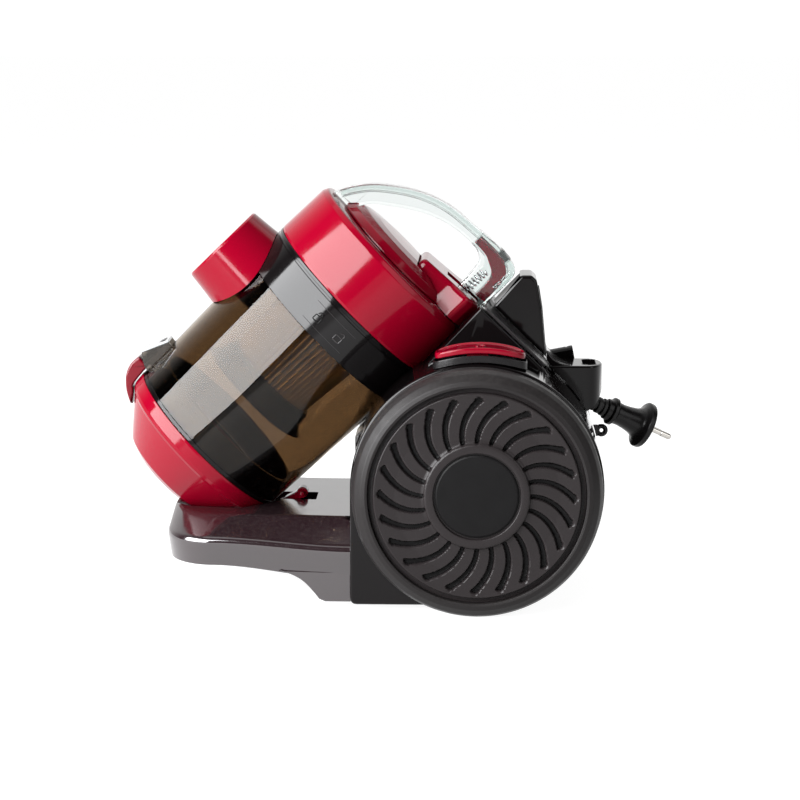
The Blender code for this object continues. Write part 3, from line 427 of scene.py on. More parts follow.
def prism_bm(outline, low, high, edge=0, steps=4, along_x=False):
    """Extrude an outline along Z, or along X, with rounded rims at both ends."""
    levels = []
    for start, way in ((low, 1), (high, -1)):
        part = [(0, start)]
        if edge:
            turns = [pi / 2 * k / steps for k in range(steps + 1)]
            part = [(edge * (1 - sin(a)), start + way * edge * (1 - cos(a))) for a in turns]
        levels.append(part)
    rings = []
    for inset, level in levels[0] + list(reversed(levels[1])):
        spots = offset(outline, inset) if inset > 1e-6 else outline
        rings.append([(level, a, b) if along_x else (a, b, level) for a, b in spots])
    return loft_bm(rings)


def bar_bm(outline, width, edge=0, steps=4):
    """A prism along X; the width is half its breadth, or its two ends."""
    low, high = sorted(width) if isinstance(width, tuple) else (-width, width)
    return prism_bm(outline, low, high, edge, steps, True)


def bar_tool(outline, width, place=BODY, edge=0, steps=4):
    """A tool that runs along X."""
    return tool(bar_bm(outline, width, edge, steps), place)


def bar(name, outline, width, mat, body, nodes, place=BODY, edge=0, steps=4, **more):
    """A piece that runs along X."""
    return build(name, bar_bm(outline, width, edge, steps), mat, body, nodes, place, **more)


def sweep_bm(points, radius, sides=12, cyclic=False):
    """A round rod along a path."""
    spots = [Vector(p) for p in points]
    count = len(spots)
    rings = []
    normal = None
    for i, spot in enumerate(spots):
        ahead = spots[(i + 1) % count] if cyclic or i + 1 < count else spot
        behind = spots[i - 1] if cyclic or i > 0 else spot
        tangent = (ahead - behind).normalized()
        if normal is None:
            helper = Vector((0, 0, 1)) if abs(tangent.z) < 0.9 else Vector((1, 0, 0))
            normal = tangent.cross(helper).normalized()
        normal = (normal - tangent * normal.dot(tangent)).normalized()
        side = tangent.cross(normal)
        rings.append([spot + (normal * cos(a) + side * sin(a)) * radius
                      for a in [2 * pi * k / sides for k in range(sides)]])
    return loft_bm(rings, shift=best_shift(rings[-1], rings[0]) if cyclic else None)


def best_shift(last, first):
    """How far to turn the first ring to meet the last one."""
    count = len(first)
    gaps = [(first[k] - last[0]).length for k in range(count)]
    return gaps.index(min(gaps))


def add_bm(target, source):
    """Put one bmesh's shells into another."""
    mesh = bpy.data.meshes.new("part")
    source.to_mesh(mesh)
    source.free()
    target.from_mesh(mesh)
    bpy.data.meshes.remove(mesh)
    return target


def box_bm(low, high, edge=0.6, steps=2):
    """A box with rounded upright and level edges."""
    corners = [(low[0], low[1]), (high[0], low[1]), (high[0], high[1]), (low[0], high[1])]
    return prism_bm(fillet(corners, steps, edge), low[2], high[2], edge * 0.8, steps)


def cut(piece, tools, operation="DIFFERENCE", sharp=32):
    """Cut a piece with tool shapes, joined to one mesh at once."""
    for tool in tools:
        mod = piece.modifiers.new("cut", "BOOLEAN")
        mod.operation = operation
        mod.solver = "EXACT"
        mod.object = tool
    graph = bpy.context.evaluated_depsgraph_get()
    weighted = piece.modifiers.get("weighted")
    if weighted:
        piece.modifiers.remove(weighted)
    graph.update()
    mesh = bpy.data.meshes.new_from_object(piece.evaluated_get(graph))
    piece.modifiers.clear()
    piece.data = mesh
    for tool in tools:
        bpy.data.objects.remove(tool, do_unlink=True)
    shade(piece, sharp)
    return piece


def in_bin(points):
    """Container outline points (s, h) as local (y, z) pairs."""
    return [(-p[1], p[0], *p[2:]) for p in points]


# ---------------------------------------------------------------- sizes

BIN_LENGTH = 155.7
BIN_LOW = 70.4
BIN_HIGH = 76.8
RING_START = 123.4
INLET_S = 113.5
INLET_S = 113.5
INLET_FACE = 100.5
INLET_BORE = 21.5
AXLE_H = 92
DRUM_R = 93.5
HALF = 112
SKIN = 2.8
PEDAL_X = 94.5
GRIP_S = 203.4


def wall(s):
    """Outer radius of the container at distance s."""
    return BIN_LOW + (BIN_HIGH - BIN_LOW) * s / BIN_LENGTH


INLET = BIN @ AT((0, 0, INLET_S * MM)) @ Matrix.Rotation(radians(90), 4, "X")


def cradle(extra=0, steps=200):
    """Tool for the trough that the container rests in."""
    clear = 1.6 + extra
    profile = [
        (0, 262), (BIN_HIGH + clear, 262), (BIN_HIGH + clear, BIN_LENGTH), (BIN_LOW + clear, 0),
        (BIN_LOW + clear, -12), (50 + clear, -38.5), (36 + clear, -47.5 - extra), (0, -48.2 - extra),
    ]
    return tool(turned_bm(profile, steps, False), BIN)


# ---------------------------------------------------------------- rear body

def drum_outline(inset):
    """Side outline of the rear drum."""
    radius = DRUM_R - inset
    start = degrees(asin((87 - inset) / radius))
    points = arc((0, AXLE_H), radius, -start, 180, 110)
    return points + fillet([points[-1], (-radius, 5 + inset, 5), points[0]], 5, closed=False)[1:-1]


def saddle_outline(inset):
    """Side outline of the block that carries the container."""
    slope = inset * 1.2
    points = [
        (-92 + inset, 60), (-92 + inset, 121.8 - slope), (2.2, 220 - slope * 1.2, 1.2),
        (48.8 - inset, 175 - slope, 4), (79.8 - inset, 136.1 - slope * 0.4), (70, 60),
    ]
    return fillet(points, 4)


def make_housing():
    """Drum and saddle over their hollow, with the openings for axles, pedals and cord."""
    hollow = bar_tool(drum_outline(SKIN), HALF - SKIN)
    cut(hollow, [bar_tool(saddle_outline(SKIN), 60 - SKIN)], "UNION")
    cut(hollow, [cradle(2.6, 96)])
    removed = [cradle(), hollow, tool(box_bm((-98, -84, -10), (98, 25.5, 12), 1))]
    groove = arc((0, AXLE_H), 90.6, 40, 160, 60) + arc((0, AXLE_H), 89.6, 160, 40, 60)
    for side in (-1, 1):
        middle = side * PEDAL_X
        axle = BODY @ AT((side * HALF * MM, 0, AXLE.z)) @ TURN_X
        removed += [
            drill(5.5, 20, -20, axle, 40),
            tool(box_bm((middle - 7.5, -9.5, 170), (middle + 7.5, 9.5, 200), 1)),
            bar_tool(groove, (side * (HALF - 0.9), side * (HALF + 4))),
        ]
    removed.append(drill(10.7, 6, -54, LINE))
    bar("housing_shell", drum_outline(0), HALF, BLACK, "chassis", ["housing"], BODY, 2.2, 5,
        added=[bar_tool(saddle_outline(0), 60, edge=1.3)], removed=removed)


def make_ridge():
    """Strip along the saddle's rear ridge, coloured grey as a painted highlight on its bevel."""
    normal = Vector((0.6958, 0.7183))
    along = Vector((0.7183, -0.6958))
    start = Vector((4.6, 218.5))
    length = 61.9
    outline = []
    for t, lift in ((0, 0.4), (length, 0.4), (length, 2.6), (0, 2.6)):
        spot = start + along * t + normal * lift
        outline.append((spot.x, spot.y))
    bar("ridge_cover", fillet(outline, 4, 0.8), 59.2, GREY_PRINT_AND_HIGHLIGHT, "chassis", ["ridge_strip"],
        edge=0.9, removed=[cradle(0.4)])


def make_tower():
    """Tower behind the handle, hollow towards the container, with three ribs in it."""
    outline = [(12, 216.4), (32.4, 239.9, 5), (40.5, 239.9, 4), (44.5, 236.2, 4),
               (48.5, 215, 30), (50.8, 190, 30), (52, 177.3)]
    hollow = [(7.3, 207.2), (33.4, 237.3), (39.8, 237.3), (41.9, 235), (45.8, 214.8), (48.1, 190),
              (49, 160)]
    bar("tower_shell", fillet(outline, 6), 21, BLACK, "chassis", ["rear_tower"],
        edge=2.6, steps=6, removed=[bar_tool(hollow, 18.5), cradle(0.4)])
    ribs = bmesh.new()
    for x in (-9, 0, 9):
        route = [(x, 46.2, 229), (x, 48.6, 214.5), (x, 50.7, 192), (x, 51.6, 181)]
        add_bm(ribs, sweep_bm(route, 0.55, 8))
    build("tower_ribs", ribs, BLACK, "chassis", ())


# ---------------------------------------------------------------- tray

def tray_ring(half, front, rear, height, corner, tilt):
    """Plan outline of the tray at one height, from the rear left round the nose."""
    ring = [(half, rear, height)]
    steps = 14
    for k in range(1, steps + 1):
        t = k / steps
        ring.append((half - 2 * t, rear + (front + corner - rear) * t, height + tilt * t * t * (3 - 2 * t)))
    turn = 18
    for k in range(1, turn + 1):
        angle = radians(90 * k / turn)
        x = (half - 2) - corner * 1.25 * (1 - cos(angle))
        y = front + corner - corner * sin(angle)
        ring.append((x, y, height + tilt))
    inner = ring[-1][0]
    for k in range(1, 8):
        ring.append((inner * (1 - k / 8), front, height + tilt))
    mirrored = [(-x, y, z) for x, y, z in reversed(ring)]
    return ring + [(0, front, height + tilt)] + mirrored


# Levels of the tray from the floor up: (half width, front, height, corner radius, nose tilt).
TRAY_ROWS = [
    (99.3, -231.8, 21, 36, 10), (99.8, -232.2, 21.2, 36, 10), (100.1, -232.4, 22, 36, 10),
    (101.9, -233.2, 32, 36, 8), (103.3, -234, 41, 36, 6.3), (103.5, -234, 42.6, 36, 6),
    (103.2, -233.95, 44.2, 36, 6), (102.3, -233.8, 45.7, 36, 6), (100.7, -233.6, 46.9, 36, 6),
    (98.4, -233.3, 48, 36, 5.8), (88, -232.4, 55.6, 38, 3.8), (80, -231.7, 61.2, 40, 2.2),
    (78.2, -231.4, 62.4, 40, 1.8), (76.2, -230.9, 63.4, 40, 1.4), (73.6, -229.9, 63.95, 40, 1.1),
    (72.4, -229.2, 64, 40, 1),
]


def tray_bm(inset):
    """Solid of the tray, or of its hollow."""
    rings = []
    rows = TRAY_ROWS if not inset else [TRAY_ROWS[k] for k in (1, 4, 9, 11, 14)]
    for k, (half, front, height, corner, tilt) in enumerate(rows):
        drop = (0 if k else 30) + (inset * 0.8 if k else 0) if inset else 0
        rings.append(tray_ring(half - inset, front + inset, -93.6 - inset, height - drop, corner, tilt))
    return loft_bm(rings)


def pocket(extra):
    """Tool for the flap hinge's pocket in the tray."""
    return tool(box_bm((-14.5 - extra, -172.5 - extra, 50 - extra), (14.5 + extra, -124.5 + extra, 90), 1))


def make_tray():
    """Front tray with the container's recess, its foot and the underside plate."""
    hollow = tool(tray_bm(2.6))
    cut(hollow, [cradle(2.4, 96), pocket(2.2)])
    build("tray_shell", tray_bm(0), TRAY, "chassis", ["base_tray"],
          removed=[cradle(), pocket(0), hollow])
    outline = [(-93.6, 4.5), (-93.6, 27)]
    outline += smooth([(-147, 27.6), (-138, 25), (-129.5, 20.2), (-122.5, 13.2), (-117, 6.4)], 6)
    outline += [(-112.5, 4.5, 1.5)]
    bar("tray_foot_block", fillet(outline, 4), 100.6, TRAY, "chassis", ["tray_foot"],
        edge=0.8, removed=[drill(30, 50, -50, PIVOT, 72)])
    slots = []
    for x in (-32, -16, 0, 16, 32):
        slot = fillet([(x - 3, -36), (x + 3, -36), (x + 3, 2), (x - 3, 2)], 5, 2.9)
        slots.append(tool(prism_bm(slot, 0, 12)))
    screws = bmesh.new()
    screw = [(0, 4.1), (0.9, 4.1), (1.1, 4.4), (2.7, 4.4), (2.9, 4.8), (2.9, 5.5), (0, 5.5)]
    for x, y in ((-88, -74), (88, -74), (-88, 16), (88, 16)):
        place = BODY @ AT((x * MM, y * MM, 0))
        slots.append(tool(turned_bm([(0, 5.6), (3.4, 5.6), (3.8, 0), (0, 0)], 32, False), place))
        head = turned_bm(screw, 28, False)
        head.transform(AT((x, y, 0)))
        add_bm(screws, head)
    plan = fillet([(-97.5, -83.5), (97.5, -83.5), (97.5, 25), (-97.5, 25)], 4, 3)
    build("service_plate", prism_bm(plan, 3.5, 7.5, 0.8, 3), SATIN, "chassis", ["underside_plate"],
          removed=slots)
    build("plate_screws", screws, STEEL, "chassis", ())


# ---------------------------------------------------------------- castor

CASTOR_TRAIL = 0.007
PIVOT = AT((0, CASTOR.y - CASTOR_TRAIL, 0))


def make_castor():
    """Socket, swivelling fork and roller under the tray."""
    profile = fillet([(3.6, 39.5), (24, 39.5), (24, 34.5), (3.6, 34.5)], 3, 0.7)
    turned("castor_bearing", profile, INNER, "chassis", ["castor_socket"], PIVOT, 72)
    stem = [(0, 39), (3.3, 39, 0.5), (3.3, 33, 1), (12.5, 31.6, 1.2), (12.5, 27, 1), (0, 27)]
    cheek = arc((7, 11.5), 5.2, -180, 0, 24) + [(10, 29), (-7, 29)]
    added = [bar_tool(cheek, (side * 7.2, side * 9.2), PIVOT, 0.5, 3) for side in (-1, 1)]
    pin = turned_bm([(0, 9.6), (1.4, 9.6), (1.8, 9.2), (1.8, -9.2), (1.4, -9.6), (0, -9.6)], 32, False)
    added.append(tool(pin, PIVOT @ AT((0, CASTOR_TRAIL, CASTOR.z)) @ TURN_X))
    turned("castor_fork_body", fillet(stem, 3), INNER, "castor", ["castor_fork"],
           PIVOT, 72, False, added=added)
    tread = [(2, 6.6), (9.3, 6.6, 0.8), (11.5, 4.5, 2), (11.5, -4.5, 2), (9.3, -6.6, 0.8), (2, -6.6)]
    turned("castor_roller_tyre", fillet(tread, 4), TYRE, "castor_roller", ["castor_wheel"],
           AT(CASTOR) @ TURN_X, 72)


# ---------------------------------------------------------------- wheels

SLOTS = 24
SLOT_START = 40.2
SLOT_SPAN = 30
SWIRL = 16


def slot_depth(radius, angle):
    """How deep the swirl slots press into the disc at a point, 0 to 1."""
    t = (radius - SLOT_START) / SLOT_SPAN
    inside = min(1, max(0, t))
    lean = SWIRL * inside ** 1.6
    pitch = 360 / SLOTS
    turn = (degrees(angle) + lean + pitch / 2) % pitch - pitch / 2
    slope = 1.6 * SWIRL * inside ** 0.6 / SLOT_SPAN * radius * pi / 180
    across = radius * radians(turn) / sqrt(1 + slope * slope)
    beyond = (t - inside) * SLOT_SPAN
    distance = hypot(across, beyond)
    half = 1.15 + 0.55 * inside
    edge = 0.75
    value = min(1, max(0, (half + edge - distance) / edge))
    return value * value * (3 - 2 * value)


# Profile of the disc's smooth face: (radius, height).
FACE_MARKS = [(31.7, 20.8), (32, 23.4), (32.6, 23.95), (36.6, 23.95), (38, 23.6), (39.4, 21.9),
              (41, 21.4), (60, 21), (73.6, 22), (74.8, 22.1), (75.4, 21.8), (75.9, 20.9),
              (76.2, 18), (79.5, 17.6)]


def face_height(radius):
    """Height of the disc's smooth face."""
    for (r0, z0), (r1, z1) in zip(FACE_MARKS, FACE_MARKS[1:]):
        if radius <= r1:
            t = max(0, (radius - r0) / (r1 - r0))
            return z0 + (z1 - z0) * t
    return FACE_MARKS[-1][1]


def disc_bm():
    """Slotted wheel disc as a fine polar grid over a plain back."""
    steps = SLOTS * 22
    radii = [31.7, 32, 32.25, 32.6, 34.5, 36.6, 37.3, 38, 38.5]
    radius = 39
    while radius < 72.6:
        radii.append(radius)
        radius += 0.52
    radii += [73.6, 74.3, 74.8, 75.1, 75.4, 75.65, 75.9, 76.05, 76.2, 79.5]
    bm = bmesh.new()
    rows = []
    depths = []
    for r in radii:
        row, depth = [], []
        for k in range(steps):
            angle = 2 * pi * k / steps
            press = slot_depth(r, angle) if 38.4 < r < 72.7 else 0
            row.append(bm.verts.new((r * cos(angle), r * sin(angle), face_height(r) - 3.4 * press)))
            depth.append(press)
        rows.append(row)
        depths.append(depth)
    for i in range(len(rows) - 1):
        for k in range(steps):
            j = (k + 1) % steps
            face = bm.faces.new((rows[i][k], rows[i][j], rows[i + 1][j], rows[i + 1][k]))
            mean = (depths[i][k] + depths[i][j] + depths[i + 1][j] + depths[i + 1][k]) / 4
            # Faces deep in a slot get the darker second material, painted shade on the slot floor.
            face.material_index = 1 if mean > 0.72 else 0
    back = [(79.5, 1.4), (76.8, 1.4), (76.8, 14.6), (72.5, 16.4), (14, 16.8), (14, 0.8), (5.1, 0.8),
            (5.1, 20.8)]
    previous = rows[-1]
    for r, z in back:
        row = [bm.verts.new(point) for point in around(r, z, steps)]
        join(bm, previous, row)
        previous = row
    join(bm, previous, rows[0])
    return bm


def make_wheels():
    """Tyres, slotted discs, blank centre caps and axles."""
    tyre = [(79.8, 23.2, 0.5), (81.6, 23.6, 0.8), (84.6, 22.6, 4), (89.3, 18.2, 5), (91.6, 12.6, 4),
            (92, 9.6)]
    for z in (8, 5.4, 2.8):
        tyre += [(92, z + 0.5), (91.5, z + 0.3), (91.5, z - 0.3), (92, z - 0.5)]
    tyre = fillet(tyre + [(92, 1.6, 1), (90.5, 0, 1), (79.8, 1)], 5)
    cap = [(0, 22.5), (26, 22.6, 3), (29.2, 22.5, 0.5), (30.5, 21.9, 0.5), (30.6, 21.2), (0, 21.2)]
    cap = fillet(cap, 4)
    pin = fillet([(0, 20), (4.6, 20, 0.3), (5, 19.4), (5, -10, 0.4), (0, -10)], 3)
    disc = disc_bm()
    for side in (-1, 1):
        place = hub(side)
        tag = tag_of(side)
        body = f"wheel_{tag}"
        turned(f"{body}_tread", tyre, TYRE, body, [f"{body}_tyre"], place, 220)
        # The disc's second material darkens the slot floors as painted shade.
        build(f"{body}_face", disc.copy(), DISC, body, [f"{body}_disc"], place, 50, [SLOT_SHADE])
        turned(f"{body}_centre", cap, CAP, body, [f"{body}_cap"], place, 120, False)
        turned(f"axle_rod_{tag}", pin, STEEL, "chassis", [f"axle_{tag}"], place, 48, False)
    disc.free()


# ---------------------------------------------------------------- pedals

# Half width and half length of a pedal; its rim and its socket's rim as (inset, arc radius).
PEDAL_HALF = (16, 33.2)
PEDAL_RIM = [(2.6, 104.3), (2.1, 104.5), (1.6, 105), (1, 105.2), (0.5, 105.05), (0.15, 104.6),
             (0, 103.9), (0, 101.9), (0.3, 101.3), (0.9, 101)]
TUB_RIM = [(-1, 94.35), (-1.5, 94.7), (-1.5, 99), (-1.3, 99.5), (-0.9, 99.7), (-0.6, 99.5),
           (-0.5, 99), (-0.5, 96.9), (0.2, 96.6)]
MARK_R = 104.45


def over_drum(x, y, radius):
    """Point above the drum's top on the pedal's arc."""
    return (x, y + 1.8, AXLE_H + sqrt(radius * radius - y * y))


def oval_ring(middle, half_x, half_y, radius, power=3.2):
    """A superellipse bent over the drum."""
    points = []
    for k in range(96):
        angle = 2 * pi * k / 96
        c, s = cos(angle), sin(angle)
        x = half_x * copysign(abs(c) ** (2 / power), c)
        y = half_y * copysign(abs(s) ** (2 / power), s)
        points.append(over_drum(middle + x, y, radius))
    return points


def make_pedals():
    """Arched foot pedals with a dished top and a plain ring mark, on their sockets."""
    wide, long = PEDAL_HALF
    for side in (-1, 1):
        tag = tag_of(side)
        middle = side * PEDAL_X
        rings = [oval_ring(middle, wide * k, long * k, r) for k, r in ((0.004, 104.3), (0.4, 104.2))]
        rings += [oval_ring(middle, wide - inset, long - inset, radius) for inset, radius in PEDAL_RIM]
        rings += [oval_ring(middle, wide * k, long * k, 101) for k in (0.4, 0.004)]
        stem = tool(box_bm((middle - 6, -8, 180), (middle + 6, 8, 194), 0.6))
        build(f"pedal_plate_{tag}", loft_bm(rings), RED, f"{tag}_pedal", [f"pedal_{tag}"],
              added=[stem])
        ring = [over_drum(middle + 3.6 * cos(a), 3.6 * sin(a), MARK_R)
                for a in [radians(25 + 310 * k / 30) for k in range(31)]]
        mark = sweep_bm(ring, 0.42, 8)
        add_bm(mark, sweep_bm([over_drum(middle + 0.8 + d, 0, MARK_R) for d in (0, 1.5, 3.2)], 0.42, 8))
        build(f"pedal_mark_{tag}", mark, RED, f"{tag}_pedal", ())

        rings = [oval_ring(middle, wide - inset, long - inset, radius) for inset, radius in TUB_RIM]
        rings.append(oval_ring(middle, 9, 18, 96.6))
        rings += [oval_ring(middle, 7.6, 9.6, radius, 9) for radius in (96.6, 94.35)]
        build(f"pedal_tub_{tag}", loft_bm(rings, shift=0), SATIN, "chassis", [f"pedal_socket_{tag}"])


# ---------------------------------------------------------------- rear fittings

BRACKET_TOP = 170.7


def rear_wall(lift, half):
    """Tool that covers the housing's rear slope."""
    outline = [(0, 90), (0, 230), (48.8 + lift, 175 + lift)]
    outline += arc((0, AXLE_H), DRUM_R + lift + 0.2, 50, 1, 60)
    return bar_tool(outline, half)


def make_bracket():
    """Parking bracket with its slot, the slot's rim and the gusset above it."""
    plan = [(21, 45), (21, 81.5)]
    for k in range(1, 26):
        angle = pi * k / 26
        plan.append((21 * cos(angle), 84 + 11.5 * sin(angle)))
    plan += [(-21, 81.5), (-21, 45)]
    middle = 85.3
    slot = []
    for end in (1, -1):
        for k in range(12):
            angle = radians(-90 + 180 * k / 11)
            slot.append((end * (8.5 + 5.2 * cos(angle)), middle + end * 5.2 * sin(angle)))
    under = [(98, 162), (95.8, 153), (92.6, 144), (87, 138), (80, 134.6), (72, 132.9)]
    under = smooth(under, 6) + [(64, 120), (110, 120), (110, 162)]
    hole = BODY @ AT((0, 0.070, BRACKET_TOP * MM))
    build("bracket_body", prism_bm(plan, 133, BRACKET_TOP, 1.6, 5), BLACK, "chassis", ["parking_bracket"],
          slot="satin_black",
          removed=[rear_wall(0.6, 30), tool(prism_bm(slot, 100, 200)), drill(1.7, 2, -6, hole, 28),
                   bar_tool(under, 30)])
    blend = smooth([(52.6, 183), (55, 178), (59.5, 174), (65, 171.8), (71, 170.9)], 6)
    blend += [(71, 169.5), (58, 169.5), (52.6, 174.5)]
    bar("bracket_gusset", blend, 19, BLACK, "chassis", (), slot="satin_black", edge=0.3, steps=2)
    rim = [(x * 1.04, middle + (y - middle) * 1.1, 170.5) for x, y in slot]
    build("bracket_slot_rim", sweep_bm(rim, 0.5, 8, cyclic=True), BLACK, "chassis", (), slot="satin_black")


def make_fittings():
    """Accessory tube and eyelet at the back."""
    place = BODY @ AT((-0.032, 0.0485, 0.1666)) @ Matrix.Rotation(radians(-79), 4, "X")
    profile = [(5.8, 27, 0.3), (7.2, 27, 0.5), (7.6, 26.4, 0.4), (7.6, 23), (7.3, 22.7), (7.3, 21.9),
               (7.6, 21.6), (7.6, 0), (5.8, 0)]
    notch = tool(box_bm((-1.6, -9, 24.2), (1.6, -3, 29), 0.4), place)
    turned("accessory_tube", fillet(profile, 3), BLACK, "chassis", ["accessory_peg"], place, 72,
           slot="satin_black", removed=[rear_wall(0.5, 60), notch])
    ring = [(-4, 95.9 + y, 116.8 + z) for y, z, _ in around(3.2, 0, 48)]
    lug = tool(box_bm((-6.2, 87, 112.4), (-1.8, 93.4, 121), 0.8))
    build("eyelet_ring", sweep_bm(ring, 1.85, 14, cyclic=True), BLACK, "chassis", ["rear_eyelet"],
          slot="satin_black", added=[lug], removed=[rear_wall(0.3, 20)])


# ---------------------------------------------------------------- plug

# Levels of the plug's shell from neck to face: (distance, half width, half depth).
PLUG_LEVELS = [
    (0.3, 7.8, 7.8), (0.8, 8.3, 8.3), (4.3, 8.6, 8.6), (4.8, 10.6, 10.4), (5.3, 11.2, 11),
    (7.7, 11.2, 11), (8.3, 10.6, 10.2), (9.2, 9.9, 9), (14, 10.4, 8.6), (20, 11.1, 9.2),
    (26, 12.2, 10.6),
    (29.5, 13, 12.2), (31.4, 14.6, 14.2), (32.3, 16.6, 16.4), (32.9, 17.9, 17.8), (33.6, 18.4, 18.4),
    (36.6, 18.4, 18.4), (37.6, 17.9, 17.9), (38, 17, 17), (38, 14.6, 14.6), (37.7, 14.2, 14.2),
    (37.7, 6, 6),
]


def plug_ring(z, half_x, half_y):
    """One level of the plug's shell, dented by its finger grips."""
    dent = 0.35 * max(0, sin((z - 10) * pi / 2.6)) if 10 < z < 28 else 0
    ring = []
    for c, s, _ in around(1, 0, 88):
        grip = dent if abs(s) > 0.8 else 0
        ring.append(((half_x - grip) * c, (half_y - grip) * s, z))
    return ring


def make_plug():
    """Cord outlet, cord tail, ribbed strain relief, moulded plug and pins."""
    outlet = [(8.5, -22.9, 0.5), (10.3, -22.9, 1.2), (10.3, -44.9), (4.6, -44.9), (4.6, -28.9, 3)]
    turned("cord_bushing", fillet(outlet, 4), SATIN, "chassis", ["cord_outlet"], LINE, 64)
    tail = fillet([(0, -24), (3.2, -24, 0.2), (3.2, -68, 0.2), (0, -68)], 2)
    turned("cord_tail_sheath", tail, RUBBER, "plug", ["cord_tail"], LINE, 40, False)
    ribs = [(0, 0)]
    for k in range(5):
        top = -0.4 - 4.6 * k
        radius = 7 - 0.55 * k
        ribs += [(radius, top, 0.5), (radius, top - 2.7, 0.5), (radius - 1.5, top - 3, 0.3),
                 (radius - 1.5, top - 4.5, 0.3)]
    ribs = fillet(ribs + [(3.6, -23.6, 0.2), (0, -23.6)], 3)
    turned("strain_relief_ribs", ribs, RUBBER, "plug", ["strain_relief"], LINE, 56, False)
    shell = loft_bm([plug_ring(*level) for level in PLUG_LEVELS])
    build("plug_shell", shell, SATIN, "plug", ["plug_body"], LINE)
    pin = [(0, 57), (1.3, 57, 0.6), (2.4, 55.4, 0.6), (2.4, 48), (2.15, 47.7), (2.15, 38.3), (0, 38.3)]
    for side in (-1, 1):
        tag = tag_of(side)
        turned(f"plug_contact_{tag}", fillet(pin, 4), NICKEL, "plug", [f"plug_pin_{tag}"],
               LINE @ AT((side * 0.0095, 0, 0)), 36, False)


# ---------------------------------------------------------------- dust container

def make_container():
    """Smoked bin, upper ring, base band, foot bead, hose collar and duct."""
    low = RING_START - 0.3
    rim = wall(low) - 1
    base = wall(0)
    jar = [(rim - 2.4, low), (rim, low, 0.3), (base + 0.2, 0, 0.4), (base - 2.4, 0)]
    turned("bin_jar", fillet(jar, 3), SMOKE, "container", ["dust_bin"], BIN, 220,
           removed=[drill(INLET_BORE + 0.4, 120, 40, INLET, 96)])
    top = wall(BIN_LENGTH)
    ring = [(wall(RING_START) - 3.6, BIN_LENGTH), (top - 0.1, BIN_LENGTH, 0.4), (top - 0.1, 153.6),
            (top - 1, 153.2), (top - 1, 151.6), (top - 0.2, 151.2), (wall(150), 150),
            (wall(RING_START), RING_START, 0.4), (wall(RING_START) - 3.6, RING_START)]
    turned("bin_ring", fillet(ring, 3), RIM, "container", ["bin_top_ring"], BIN, 220,
           removed=[drill(INLET_BORE + 0.4, 120, 40, INLET, 96)])
    band = [(base - 6.2, 22, 0.4), (base - 2.8, 22, 0.4), (base - 2.8, 1), (base - 6.2, 1)]
    turned("bin_base_band", fillet(band, 3), BLACK, "container", ["bin_base_ring"], BIN,
           180)
    bead = [(wall(1) - 0.2, 0.2), (wall(1) + 0.55, 0.4, 0.3), (wall(3) + 0.55, 3, 0.3),
            (wall(3) - 0.2, 3.4)]
    turned("bin_foot_bead", fillet(bead, 3), BLACK, "container", (), BIN, 200)

    face = INLET_FACE
    cone = [(INLET_BORE, face - 0.2, 0.4), (32.8, face, 0.8), (34, face - 1.4, 0.6), (36, 81, 30),
            (38.6, 62), (34.5, 62), (30, face - 6), (INLET_BORE, face - 6)]
    seat = turned_bm([(0, 170), (wall(170) + 0.4, 170), (wall(50) + 0.4, 50), (0, 50)], 240, False)
    turned("hose_collar", fillet(cone, 5), RED, "container", ["inlet_collar"], INLET, 180,
           removed=[tool(seat, BIN)])
    duct = [(19.2, face - 1.2, 0.6), (21.1, face - 1.2, 0.6), (21.1, 50, 0.4), (19.2, 50, 0.4)]
    lip = [(19.25, 94), (18.2, 93, 0.4), (18.2, 91, 0.4), (19.25, 90)]
    sleeve = add_bm(turned_bm(fillet(duct, 3), 120), turned_bm(fillet(lip, 3), 120))
    build("inlet_sleeve", sleeve, BLACK, "container", ["inlet_duct"], INLET)


def on_ring(s, angle, lift):
    """Point on the upper ring's face, angle in degrees from +X towards the handle side."""
    radius = wall(s) + lift
    a = radians(angle)
    return (radius * cos(a), -radius * sin(a), s)


def make_padlocks():
    """Two plain padlock marks, closed and open, raised on the ring between two fine lines."""
    unit = degrees(1 / wall(139))
    case = fillet([(-2.9, -3.6), (2.9, -3.6), (2.9, 0.8), (-2.9, 0.8)], 3, 0.8)
    for name, angle, open_bow in (("lock_mark_closed", 9, 0), ("lock_mark_open", -7, 28)):
        outline = [on_ring(137.2 + b, angle + a * unit, 0.12) for a, b in case]
        lean = radians(open_bow)
        bow = []
        for k in range(17):
            t = pi * k / 16
            a, b = 1.8 * cos(t) + 1.5, 1.5 + 2.3 * sin(t)
            a, b = a * cos(lean) - b * sin(lean), a * sin(lean) + b * cos(lean)
            bow.append(on_ring(137.5 + b, angle + (a - 1.5) * unit, 0.12))
        mark = add_bm(sweep_bm(outline, 0.42, 8, cyclic=True), sweep_bm(bow, 0.42, 8))
        build(name, mark, GREY_PRINT_AND_HIGHLIGHT if open_bow else CAP, "container", (), BIN, slot="gloss_black")
    for index, s in enumerate((145.7, 129.5)):
        line = [on_ring(s, -14 + 30 * k / 24, 0.05) for k in range(25)]
        build(f"lock_frame_{index}", sweep_bm(line, 0.16, 6), GREY_PRINT_AND_HIGHLIGHT, "container", (), BIN, slot="gloss_black")


HINGE_Y = 81.2
HINGE_Z = 22.6


